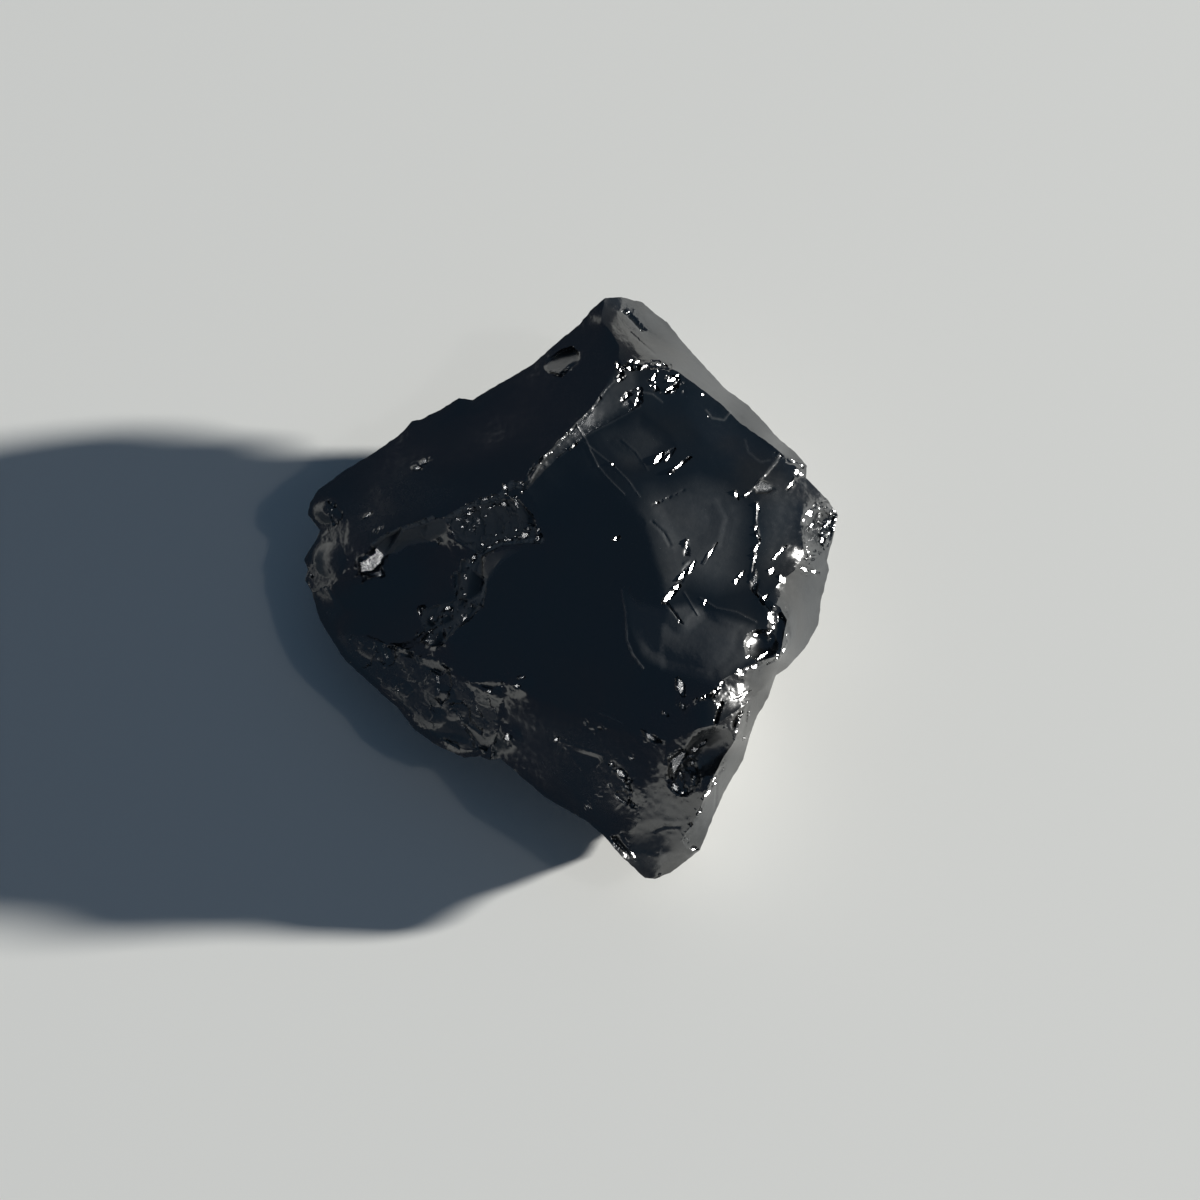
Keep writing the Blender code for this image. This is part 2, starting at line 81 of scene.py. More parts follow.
# Surroundings: near the horizon and overhead
SKY_LOW = (0.047, 0.058, 0.085, 1.0)
SKY_HIGH = (0.036, 0.064, 0.100, 1.0)
SKY_HIGH_FROM = 0.85

# Glassy surface: two tints, and noise sizes in mm for the clouds of tint, the sheen and the grit
GLASS_IOR = 2.1
GLASS_COOL = (0.0035, 0.0055, 0.0075, 1.0)
GLASS_WARM = (0.0065, 0.0065, 0.0060, 1.0)
CLOUD_SIZE = 5.0
SHEEN_SIZE = 2.4
SHEEN_ROUGHNESS = (0.10, 0.17)
GRIT_SIZE = 0.35
GRIT_ROUGHNESS = (0.0, 0.06)

# Bumps of the glassy surface: size in mm, detail and roughness of the noise, strength, height in metres
BUMPS = [(0.16, 3.0, 0.6, 0.35, 0.00002), (0.8, 2.0, 0.5, 0.5, 0.000015)]

# Worn surface: its colour where it is crushed, which where the finish is set above 1 is painted light that
# lifts spots lying in shade, and the share of that colour and the roughness that a finish of 1 takes on
WEAR_AND_PAINTED_LIGHT_COLOUR = (0.20, 0.21, 0.212, 1.0)
WEAR_AND_PAINTED_LIGHT_SHARE = 0.155
WORN_ROUGHNESS = 0.26

# Floor
FLOOR_HALF = 1.5
PAPER_COLOUR = (0.80, 0.80, 0.77, 1.0)
PAPER_ROUGHNESS = 0.95
PAPER_SPECULAR = 0.1

# Mesh: lengths in picture units
UPPER_EDGE = 2.5
LOWER_EDGE = 4.4
RIM_EDGE = 2.6
SEED = 41
RIM_WOBBLE = 0.6
RIDGE_WOBBLE = 0.5
NET_JITTER = 0.16
NET_CLEARANCE = 0.62
RIM_CLEARANCE = 0.4
ROW_STEP = 0.866
SMOOTHING_LENGTH = 17.0
WALL_ROUNDS = 60
WALL_FACING = 0.45
CREASE_ANGLE = radians(24.0)
RIM_BLEND = 14.0
FOOT_BLEND = 16.0
FOOT_STEP = 4.0

# Surface unrest of a natural fracture, in mm
SWELL_HEIGHT = 0.07
SWELL_LENGTH = 4.2
GRAIN_HEIGHT = 0.03
GRAIN_LENGTH = 1.3
FINE_HEIGHT = 0.004
FINE_LENGTH = 0.45
WALL_SWELL = 2.5

# Detail: widths in picture units, heights and steps towards the light in mm
HOLLOW_WALL = 13.0
DETAIL_MARGIN = 2.5
RIM_MARGIN = 3.0
CHIP_WALL = 2.5
LONGEST_STEP = 0.16
GLINT_SPREAD = 0.10
GLINT_NARROWING = 0.9
GLINT_MIDDLE = 1.2
GLINT_TAPER = 1.4
GLINT_MARGIN = 0.3
GLINT_BLEND = 0.6
CORE_SHARE = 0.5
SHADE_AHEAD = 0.25
SHADE_LIFT = 0.1
CELL_JITTER = 0.42
CELL_SPREAD = 0.05
CELL_MEETS = 4
CELL_LEAST_SLOPE = 0.3
CELL_LEAST_POINTS = 4
GROUND_BLEND = 3.0
RUN_STEEP = 0.32
LIT_SINK = 0.03
RUN_HEIGHT = 0.02
RUN_SHARE = 0.6

# Shell-shaped scars of the hidden walls and the underside: lengths in mm, and their satin finish
SCAR_SIZE = 3.4
SCAR_REACH = 0.8
SCAR_DEPTH = 0.32
SCAR_RIM_MARGIN = 1.2
SCAR_DRAW = 7.3
RIPPLE_START = (10.0, -8.0, 3.0)
RIPPLE_LENGTH = 1.7
RIPPLE_DEPTH = 0.012
FOOT_SCAR_SHARE = 0.35
ON_FLOOR = 0.001
LOWER_SATIN = 0.15
LOWER_SATIN_SPREAD = 0.5
WORN_RIDGE = 0.9
WORN_RIDGE_WIDTH = 0.05

# Rim: across and down in the picture, height in mm, clockwise from the top corner
RIM = [
    (600, 302, 9.0), (605, 298, 9.0), (621, 297, 8.3), (642, 302, 7.2), (657, 315, 6.4),
    (667, 322, 6.3), (681, 340, 6.6), (697, 358, 7.0), (720, 383, 7.4), (728, 391, 7.5),
    (748, 405, 7.5), (765, 423, 7.7), (780, 440, 7.9), (795, 452, 8.1), (807, 466, 8.2),
    (806, 478, 8.6), (820, 492, 8.2), (828, 500, 7.8), (838, 515, 7.0), (833, 538, 6.7),
    (827, 560, 7.0), (829, 570, 6.6), (821, 600, 6.4), (818, 625, 6.3), (805, 648, 6.6),
    (787, 668, 7.2), (776, 675, 7.4), (768, 698, 7.8), (757, 716, 7.7), (750, 735, 7.3),
    (743, 760, 6.7), (728, 785, 6.1), (717, 808, 5.5), (705, 838, 4.4), (700, 850, 3.8),
    (682, 864, 3.0), (670, 873, 2.9), (655, 879, 3.05), (645, 878, 3.3), (622, 857, 4.35),
    (603, 835, 4.95), (585, 820, 5.2), (560, 806, 5.1), (545, 797, 4.95), (525, 780, 4.6),
    (500, 758, 4.2), (490, 760, 3.6), (480, 756, 3.6), (465, 758, 3.4), (440, 747, 3.5),
    (415, 730, 3.5), (398, 708, 3.4), (370, 683, 3.4), (345, 660, 3.3), (332, 640, 3.2),
    (320, 620, 3.0), (312, 592, 2.9), (305, 580, 2.8), (308, 570, 2.8), (304, 560, 2.9),
    (308, 552, 3.0), (316, 540, 3.3), (320, 530, 3.4), (308, 515, 3.5), (310, 503, 3.7),
    (318, 490, 4.0), (345, 470, 4.5), (375, 452, 5.0), (398, 436, 5.3), (412, 421, 5.6),
    (422, 419, 5.7), (440, 410, 6.0), (459, 398, 6.5), (473, 400, 6.6), (490, 389, 6.85),
    (508, 379, 7.15), (533, 364, 7.5), (560, 340, 8.0), (580, 324, 8.3), (590, 311, 8.7),
]

# Ridges and steps of the upper sheet, read like the rim
RIDGES = {
    "apex_edge": [(605, 298, 9.0), (601, 320, 9.3), (612, 333, 9.4), (619, 345, 9.5), (619, 362, 9.7)],
    "steep_facet_top": [
        (619, 362, 9.7), (640, 364, 9.8), (668, 367, 9.7), (680, 373, 9.6), (700, 388, 9.5),
        (720, 403, 9.5), (740, 423, 9.4), (765, 440, 9.3), (780, 452, 9.3), (800, 470, 8.9),
        (806, 478, 8.6),
    ],
    "band_left": [
        (619, 362, 9.7), (605, 388, 9.9), (590, 410, 9.9), (575, 424, 9.85), (555, 445, 9.7),
        (545, 455, 9.55), (530, 480, 9.2), (523, 486, 9.0),
    ],
    "band_right": [
        (640, 364, 9.8), (640, 405, 9.75), (615, 418, 9.6), (590, 432, 9.45), (580, 440, 9.35),
        (560, 455, 9.2), (545, 470, 9.1), (527, 490, 8.9), (523, 486, 9.0),
    ],
    "scarp_top": [
        (523, 486, 9.0), (512, 484, 8.7), (500, 497, 8.4), (480, 500, 8.0), (463, 508, 7.6),
        (447, 517, 7.2), (430, 518, 6.9), (418, 522, 6.7), (400, 530, 6.3), (385, 536, 6.0),
        (372, 545, 5.7), (360, 556, 5.3), (345, 572, 4.6), (328, 590, 3.8), (312, 592, 2.9),
    ],
    "rough_facet_edge": [
        (527, 490, 8.9), (536, 505, 8.9), (541, 525, 8.8), (540, 540, 8.6), (515, 541, 8.0),
        (500, 543, 7.6), (480, 553, 6.9), (463, 570, 6.1), (456, 585, 5.7), (457, 600, 5.5),
        (445, 608, 5.3), (440, 620, 5.2), (428, 628, 5.0), (415, 638, 4.8), (402, 641, 4.5),
        (388, 643, 4.3),
    ],
    "pocket_brink": [
        (540, 540, 8.6), (500, 560, 8.0), (486, 580, 7.6), (481, 603, 7.3), (463, 622, 6.9),
        (447, 640, 6.6), (430, 655, 5.6),
    ],
    "pocket_scarp_foot": [
        (364, 582, 4.0), (386, 572, 4.5), (388, 556, 4.9), (402, 542, 5.3), (420, 538, 5.7),
        (438, 543, 5.8),
    ],
    "shelf_ledge": [
        (388, 643, 4.3), (408, 650, 5.0), (430, 655, 5.6), (455, 673, 5.9), (475, 684, 6.2),
        (500, 680, 6.8), (520, 690, 7.0), (545, 700, 7.3), (575, 712, 7.7), (600, 722, 8.1),
        (640, 735, 8.8), (668, 742, 9.4),
    ],
    "shelf_left": [(388, 643, 4.3), (368, 640, 3.9), (350, 628, 3.5), (336, 610, 3.3), (328, 590, 3.8)],
    "shelf_low": [
        (388, 643, 4.3), (400, 668, 4.4), (425, 690, 4.7), (445, 708, 4.7), (458, 722, 4.5),
        (472, 738, 4.2), (482, 750, 3.9), (490, 760, 3.6),
    ],
    "shelf_root": [(500, 680, 6.8), (505, 705, 5.9), (500, 727, 5.1), (492, 745, 4.2), (490, 760, 3.6)],
    "plateau_divide": [
        (580, 440, 9.35), (598, 468, 9.6), (624, 494, 9.9), (645, 520, 10.15), (652, 545, 10.25),
        (664, 580, 10.3), (665, 605, 10.2), (660, 650, 10.05), (672, 690, 9.95), (680, 720, 10.0),
    ],
    "right_bevel": [(780, 452, 9.3), (760, 478, 9.8), (745, 497, 10.1)],
    "jagged_crack": [
        (745, 497, 10.1), (757, 503, 10.15), (756, 520, 10.15), (760, 540, 10.15), (755, 552, 10.15),
        (750, 580, 10.25), (766, 598, 10.5),
    ],
    "rim_facet_top": [
        (827, 560, 7.0), (815, 572, 8.1), (795, 570, 9.5), (783, 580, 10.1), (766, 598, 10.5),
        (780, 607, 10.5), (787, 620, 10.3), (783, 640, 10.2), (780, 655, 10.1), (750, 665, 10.6),
        (722, 680, 10.9), (712, 697, 10.9), (700, 700, 10.8), (680, 720, 10.0), (668, 742, 9.4),
    ],
    "rim_facet_foot": [
        (668, 742, 9.4), (700, 728, 10.5), (715, 725, 10.6), (730, 715, 10.5), (745, 705, 10.0),
    ],
    "strip_top": [
        (776, 675, 7.4), (765, 685, 8.8), (745, 705, 10.0), (735, 740, 9.7), (722, 760, 9.2),
        (705, 795, 8.0), (700, 810, 6.9), (682, 840, 5.0), (690, 855, 3.8), (700, 850, 3.8),
    ],
    "tip_crest": [
        (668, 742, 9.4), (663, 765, 8.5), (666, 790, 7.3), (658, 812, 6.1), (655, 832, 5.1),
        (660, 850, 4.4), (658, 866, 3.55), (655, 879, 3.05),
    ],
    "rim_notch_crest": [(838, 515, 7.0), (815, 508, 8.5), (803, 520, 9.2), (803, 545, 9.4), (815, 572, 8.1)],
}

# Single heights inside the faces: across, down, height
SPOTS = [
    (410, 585, 4.3), (400, 612, 4.1), (425, 575, 4.6), (470, 587, 6.2), (490, 520, 7.6),
    (345, 520, 4.7), (370, 500, 5.5), (420, 470, 6.8), (480, 450, 7.9), (350, 600, 3.4),
    (540, 400, 8.5), (430, 735, 3.6), (380, 665, 3.8), (632, 848, 4.2), (640, 825, 5.4),
    (560, 560, 9.3), (540, 640, 8.5), (600, 660, 9.2), (700, 440, 9.9), (790, 500, 9.6),
    (790, 540, 9.8), (735, 610, 10.4), (700, 560, 10.2), (690, 520, 10.15), (725, 790, 6.2),
    (640, 345, 8.8),
]

# Conchoidal scoops and worn knobs: across, down, half lengths, turn, depth in mm (knobs negative)
SCOOPS = [
    (708, 752, 30, 21, -45, 0.80), (683, 776, 17, 21, 0, 0.55), (761, 645, 17, 16, 0, 0.60),
    (779, 626, 11, 27, 8, 0.45), (819, 532, 15, 25, 8, 0.70), (562, 361, 24, 13, -35, 0.12),
    (488, 521, 36, 18, -12, 0.35), (600, 790, 44, 24, 40, 0.08), (655, 838, 26, 18, 0, 0.15),
    (396, 690, 18, 13, 20, -0.22), (440, 696, 16, 12, 10, -0.20), (454, 710, 14, 11, 0, -0.16),
    (430, 718, 17, 12, 0, -0.22), (490, 694, 16, 13, 0, -0.20), (508, 738, 15, 14, 0, -0.20),
    (450, 746, 28, 12, 12, -0.25), (372, 648, 20, 12, 25, -0.20), (330, 560, 16, 18, 0, -0.30),
    (325, 510, 18, 14, 0, -0.30), (352, 628, 16, 20, 20, -0.20), (520, 686, 14, 11, 0, -0.16),
]

# Wide shallow swales that fade out softly, given like the scoops
SWALES = [
    (560, 600, 100, 130, 10, 0.45), (735, 428, 60, 30, 35, 0.30), (470, 430, 90, 40, -32, 0.22),
    (365, 505, 40, 26, 30, 0.25), (645, 335, 50, 18, 48, 0.15),
]

# Shallow hollows with an edge all round: outline, depth in mm
HOLLOWS = [
    ([(592, 434), (615, 420), (641, 410), (660, 425), (672, 435), (677, 447), (662, 460), (655, 470),
      (638, 474), (616, 466), (600, 452)], 0.1),
    ([(648, 500), (668, 492), (692, 488), (716, 500), (724, 518), (718, 540), (700, 552), (676, 552),
      (660, 536)], 0.07),
    ([(623, 586), (640, 600), (662, 604), (682, 622), (704, 600), (722, 612), (752, 622), (748, 652),
      (736, 670), (716, 684), (690, 678), (664, 672), (643, 658), (630, 630)], 0.12),
]

# Lower sheet, in mm: corners of the flat face it rests on, the chamfer round it, and the shoulder
# halfway up the hidden walls
FOOT = [
    (-7.6, -3.6), (-4.6, -6.2), (-0.6, -9.6), (2.2, -11.4), (4.6, -9.8), (6.2, -6.2), (7.2, -2.0),
    (6.4, 2.4), (3.6, 5.6), (-0.6, 6.6), (-4.8, 4.8), (-8.2, 2.6), (-9.6, -0.4),
]
HEEL = [
    (-7.9, -5.2, 0.5), (-3.6, -8.0, 0.4), (0.4, -11.6, 0.45), (2.6, -13.6, 0.8), (4.9, -12.4, 0.9),
    (7.1, -7.4, 1.2), (8.9, -2.8, 1.5), (8.3, 2.2, 1.7), (5.2, 6.6, 1.6), (0.8, 8.8, 1.9),
    (-4.4, 7.0, 1.5), (-9.0, 4.4, 1.2), (-12.0, 1.0, 0.9), (-11.6, -1.8, 0.8),
]
SHOULDER = [
    (10.9, -1.6, 4.4), (10.5, 1.6, 4.9), (7.9, 5.7, 4.6), (5.0, 9.0, 4.0), (2.4, 11.2, 4.4),
    (0.2, 11.6, 5.2), (-3.4, 9.4, 4.2), (-7.2, 7.2, 3.1), (-10.9, 5.2, 2.4), (-13.6, 2.5, 1.7),
    (-14.0, -0.4, 1.2),
]

# Scoops of the hidden walls, read in the same view as the rim
WALL_SCOOPS = [
    (560, 400, 60, 34, -32, 0.9), (700, 430, 56, 40, 40, 0.8), (775, 520, 30, 44, 0, 0.7),
    (430, 480, 56, 26, -30, 0.7), (350, 560, 24, 30, 0, 0.5), (640, 380, 40, 26, 20, 0.6),
    (770, 620, 22, 34, 10, 0.5),
]

# Flat chips: outline, way the chip faces (turn from +X towards +Y and tilt from straight up, degrees),
# depth at its middle in mm, satin finish (1 is worn, more is crushed; above 1 it is also painted light on a
# chip in shade)
CHIPS = [
    ([(543, 368), (549, 358), (560, 350), (572, 346), (579, 352), (580, 360), (569, 368), (560, 376),
      (549, 373)], 125, 37, 0.03, 0.5),
    ([(359, 575), (358, 561), (372, 552), (375, 544), (386, 535), (402, 528), (396, 540), (387, 553),
      (383, 564), (372, 574)], -47, 28, 0.05, 0.15),
    ([(367, 576), (381, 565), (386, 576), (380, 579)], -47, 32, 0.05, 0.2),
    ([(417, 527), (428, 524), (427, 533), (424, 539), (420, 536)], -47, 31, 0.03, 0.2),
    ([(450, 522), (470, 524), (466, 533), (461, 537), (452, 530)], -47, 28, 0.05, 0.8),
    ([(510, 503), (520, 502), (533, 515), (536, 527), (524, 524)], -45, 26, 0.05, 1.2),
    ([(470, 604), (480, 607), (470, 620), (459, 628), (456, 618)], -47, 28, 0.04, 0.8),
    ([(455, 602), (462, 597), (469, 600), (464, 607), (456, 609)], -47, 28, 0.03, 0.4),
    ([(426, 635), (440, 629), (448, 633), (443, 645), (430, 647), (420, 642)], -47, 28, 0.04, 0.8),
    ([(459, 573), (474, 570), (485, 578), (484, 592), (472, 600), (459, 600)], -47, 27, 0.06, 1.0),
    ([(418, 606), (426, 604), (428, 616), (437, 625), (432, 629), (421, 619)], -47, 28, 0.03, 0.2),
    ([(440, 612), (450, 612), (456, 620), (446, 626), (438, 622)], -47, 28, 0.04, 0.8),
    ([(388, 645), (400, 646), (414, 653), (413, 659), (402, 656)], -120, 60, 0.03, 0.1),
    ([(357, 641), (362, 642), (372, 649), (368, 651)], -120, 60, 0.02, 0.1),
    ([(416, 655), (434, 657), (452, 670), (440, 676), (424, 668)], -120, 58, 0.04, 0.3),
    ([(435, 699), (440, 691), (450, 691), (449, 699), (441, 706)], -120, 60, 0.03, 0.15),
    ([(448, 711), (452, 706), (460, 707), (457, 712)], -120, 60, 0.03, 0.15),
    ([(458, 722), (466, 724), (476, 728), (486, 737), (500, 727), (494, 742), (486, 752),
      (480, 748)], -120, 62, 0.05, 0.15),
    ([(470, 683), (480, 682), (492, 679), (503, 680), (503, 685), (492, 690),
      (484, 688)], -120, 60, 0.03, 0.15),
    ([(620, 402), (628, 398), (634, 404), (630, 409), (622, 408)], -47, 27, 0.05, 0.2),
    ([(640, 729), (650, 731), (664, 743), (654, 744), (646, 740)], -47, 26, 0.04, 0.2),
    ([(669, 758), (684, 748), (690, 752), (684, 762), (678, 772), (674, 783),
      (670, 772)], -47, 28, 0.06, 0.2),
    ([(753, 487), (760, 478), (772, 483), (777, 490), (768, 494), (756, 494)], -47, 26, 0.04, 0.35),
    ([(756, 568), (760, 580), (757, 592), (760, 599), (752, 592), (748, 584),
      (752, 574)], -47, 26, 0.05, 0.35),
    ([(686, 538), (690, 543), (690, 556), (684, 557), (682, 548)], -47, 28, 0.03, 0.3),
    ([(683, 562), (690, 558), (694, 561), (688, 572), (681, 573)], -47, 27, 0.03, 0.3),
    ([(679, 575), (687, 573), (683, 583), (674, 586)], -47, 30, 0.03, 0.3),
    ([(668, 590), (676, 586), (680, 590), (672, 598), (664, 602)], -47, 27, 0.04, 0.3),
    ([(650, 464), (656, 456), (664, 450), (676, 446), (676, 451), (664, 459),
      (656, 466)], -47, 29, 0.04, 0.3),
    ([(610, 837), (620, 834), (630, 848), (637, 860), (630, 858), (618, 846)], -120, 62, 0.04, 0.15),
    ([(588, 728), (596, 725), (603, 729), (598, 732)], -47, 28, 0.02, 0.2),
    ([(624, 586), (628, 585), (632, 590), (627, 592)], -47, 28, 0.02, 0.2),
    ([(562, 745), (600, 756), (604, 762), (588, 774), (574, 760)], -128, 38, 0.06, 0.1),
]

# Small bright facets, turned to the light: across and down of both ends, width
GLINTS = [
    (413, 468, 420, 468, 6), (421, 463, 427, 460, 6), (428, 461, 432, 457, 3), (331, 503, 335, 507, 3),
    (331, 510, 333, 509, 3), (364, 518, 372, 512, 3), (374, 532, 377, 531, 4), (378, 530, 383, 526, 3),
    (437, 486, 440, 484, 3), (309, 574, 313, 577, 3), (305, 580, 309, 584, 3), (347, 617, 348, 617, 3),
    (425, 681, 426, 681, 3), (504, 485, 507, 491, 5), (500, 503, 509, 505, 5), (515, 500, 518, 508, 5),
    (520, 482, 524, 487, 4), (456, 519, 463, 520, 4), (464, 519, 471, 523, 3), (467, 515, 473, 512, 4),
    (477, 522, 480, 519, 3), (484, 517, 488, 514, 3), (482, 501, 488, 498, 4), (470, 509, 475, 507, 3),
    (520, 537, 528, 534, 7), (515, 528, 518, 532, 4), (525, 528, 531, 530, 3), (535, 541, 541, 536, 6),
    (503, 540, 513, 540, 4), (495, 543, 500, 541, 4), (453, 577, 454, 577, 5), (484, 581, 482, 586, 4),
    (465, 579, 467, 577, 3), (457, 590, 456, 597, 4), (444, 609, 453, 608, 5), (463, 620, 466, 615, 4),
    (471, 604, 473, 607, 4), (480, 605, 481, 604, 4), (444, 629, 445, 639, 4), (426, 634, 437, 627, 3),
    (416, 637, 421, 631, 3), (419, 608, 421, 615, 5), (569, 449, 577, 443, 3), (611, 463, 614, 466, 3),
    (614, 540, 619, 537, 5), (617, 363, 619, 369, 4), (620, 369, 623, 375, 5), (627, 367, 633, 370, 5),
    (634, 363, 640, 361, 3), (641, 369, 648, 364, 4), (628, 362, 633, 360, 3), (655, 364, 667, 366, 3),
    (651, 381, 656, 375, 4), (668, 381, 678, 378, 4), (666, 390, 676, 386, 4), (654, 386, 658, 390, 4),
    (625, 398, 630, 394, 4), (636, 389, 641, 388, 3), (636, 401, 640, 400, 4), (655, 463, 663, 453, 7),
    (665, 461, 675, 449, 3), (702, 395, 704, 394, 4), (708, 416, 709, 416, 4), (669, 473, 691, 457, 3),
    (735, 491, 738, 499, 4), (744, 496, 750, 493, 3), (797, 469, 796, 475, 6), (787, 490, 795, 478, 3),
    (757, 503, 759, 512, 3), (757, 523, 755, 531, 4), (756, 533, 760, 541, 3), (758, 545, 754, 551, 4),
    (755, 553, 754, 565, 3), (807, 515, 812, 511, 8), (808, 530, 815, 521, 3), (826, 537, 831, 531, 3),
    (821, 544, 823, 536, 4), (824, 527, 834, 518, 3), (805, 559, 815, 556, 4), (801, 568, 808, 571, 4),
    (811, 571, 817, 573, 4), (770, 574, 773, 568, 6), (780, 576, 785, 583, 6), (735, 584, 738, 578, 4),
    (738, 578, 744, 571, 3), (703, 564, 717, 543, 3), (772, 560, 786, 546, 3), (687, 540, 686, 550, 3),
    (688, 574, 695, 561, 4), (678, 580, 688, 570, 4), (663, 602, 677, 589, 6), (674, 588, 680, 586, 6),
    (704, 605, 706, 600, 4), (679, 619, 680, 622, 4), (769, 613, 773, 624, 6), (762, 600, 768, 595, 4),
    (749, 646, 752, 639, 4), (753, 637, 759, 633, 4), (770, 631, 772, 631, 3), (787, 632, 787, 642, 3),
    (786, 645, 781, 655, 3), (757, 660, 768, 652, 4), (745, 659, 750, 655, 3), (752, 668, 757, 666, 5),
    (738, 670, 742, 673, 5), (775, 659, 780, 657, 4), (720, 683, 721, 683, 3), (678, 679, 683, 695, 9),
    (681, 704, 684, 709, 5), (663, 712, 668, 716, 3), (705, 697, 707, 696, 4), (713, 700, 722, 707, 3),
    (729, 693, 736, 697, 4), (737, 697, 751, 691, 3), (674, 784, 676, 790, 7), (680, 791, 684, 794, 4),
    (692, 750, 697, 749, 6), (699, 747, 707, 740, 4), (692, 761, 693, 765, 5), (695, 775, 693, 781, 4),
    (680, 770, 682, 780, 3), (669, 757, 671, 756, 4), (680, 751, 684, 750, 4), (716, 776, 712, 783, 3),
    (711, 790, 704, 797, 4), (700, 812, 701, 811, 3), (684, 832, 685, 831, 3), (742, 740, 746, 737, 3),
    (617, 771, 626, 776, 9), (626, 782, 632, 781, 4), (609, 763, 614, 766, 3), (630, 757, 633, 759, 4),
    (607, 783, 611, 787, 3), (615, 794, 621, 801, 3), (600, 791, 600, 793, 3), (586, 804, 591, 809, 3),
    (585, 722, 588, 725, 3), (509, 671, 509, 673, 3), (518, 678, 524, 677, 4), (515, 686, 519, 686, 6),
    (507, 735, 508, 740, 8), (489, 690, 490, 693, 6), (555, 740, 558, 738, 5), (492, 756, 494, 753, 4),
    (397, 690, 398, 690, 5), (486, 549, 493, 545, 3), (480, 554, 485, 550, 3), (472, 559, 476, 555, 4),
    (469, 563, 471, 561, 3), (458, 572, 459, 572, 3), (490, 497, 493, 496, 3),
]

# Crushed spots strewn with small bright facets: outline, number of facets; then their turn in radians,
# length and width
CRUSHED = [
    ([(447, 519), (470, 508), (490, 498), (512, 486), (524, 490), (516, 506), (490, 512), (476, 532),
      (460, 532)], 34),
    ([(500, 528), (520, 526), (530, 516), (541, 534), (538, 543), (500, 543), (482, 552), (478, 546)], 26),
    ([(458, 566), (470, 556), (482, 554), (470, 572), (462, 600), (455, 602)], 12),
    ([(415, 606), (424, 610), (440, 612), (456, 602), (484, 600), (480, 610), (462, 622), (446, 642),
      (428, 646)], 26),
    ([(652, 366), (680, 376), (690, 392), (668, 398), (650, 394)], 8),
]
CRUMB_TRIES = 12
CRUMB_TURN = (-1.2, 0.2)
CRUMB_LENGTH = (1.0, 5.0)
CRUMB_WIDTH = (2.4, 3.6)

# Thin seams and cracks: points, width, height in mm (grooves negative), satin finish
SEAMS = [
    ([(619, 376), (605, 390), (590, 411), (576, 424), (556, 447), (545, 456), (530, 482)], 3.0, 0.03, 0.8),
    ([(640, 406), (615, 420), (592, 432), (580, 440), (560, 456)], 3.0, 0.02, 0.5),
    ([(576, 424), (586, 440), (590, 450), (598, 466)], 2.6, 0.03, 1.0),
    ([(598, 466), (610, 480), (624, 494)], 2.6, 0.02, 0.7),
    ([(584, 442), (600, 455), (614, 466), (628, 480), (640, 497)], 2.6, 0.02, 0.8),
    ([(622, 440), (636, 452), (648, 470)], 2.6, 0.02, 0.4),
    ([(622, 590), (626, 612), (627, 640), (633, 655), (643, 668)], 3.4, 0.05, 0.9),
    ([(700, 598), (716, 608), (736, 612), (756, 622)], 3.4, 0.04, 0.4),
    ([(745, 497), (755, 486), (765, 475)], 2.6, 0.03, 0.9),
    ([(757, 503), (756, 520), (760, 540), (755, 552), (752, 568), (750, 582), (758, 594),
      (766, 600)], 3.2, 0.04, 1.0),
    ([(765, 475), (776, 462), (779, 456)], 4.0, 0.03, 0.7),
    ([(600, 713), (612, 718), (622, 723)], 2.6, 0.02, 0.5),
    ([(588, 778), (600, 765), (610, 752)], 2.6, 0.02, 0.5),
    ([(560, 742), (580, 748), (602, 756)], 3.0, 0.03, 0.4),
    ([(670, 545), (664, 533), (652, 522)], 5.0, -0.05, 0.0),
    ([(684, 592), (690, 602), (698, 615)], 3.0, 0.03, 0.5),
    ([(624, 311), (632, 318), (643, 330)], 6.5, -0.22, 0.0),
    ([(630, 332), (642, 343), (655, 354)], 2.4, -0.06, 0.0),
    ([(722, 703), (719, 712), (716, 723)], 5.0, -0.22, 0.0),
    ([(742, 712), (737, 718), (734, 726)], 5.0, -0.25, 0.0),
    ([(717, 780), (716, 796), (715, 812)], 2.6, -0.08, 0.0),
    ([(667, 603), (674, 612), (682, 623)], 3.2, -0.1, 0.0),
    ([(655, 830), (664, 826), (680, 826)], 7.0, -0.1, 0.0),
    ([(720, 503), (728, 518), (722, 545)], 12.0, -0.02, 0.0),
    ([(706, 410), (712, 418), (724, 420), (730, 412)], 3.0, 0.02, 0.6),
    ([(745, 440), (748, 452), (760, 462), (770, 460)], 3.0, 0.02, 0.3),
    ([(640, 392), (652, 394), (662, 402)], 3.0, 0.03, 0.6),
]
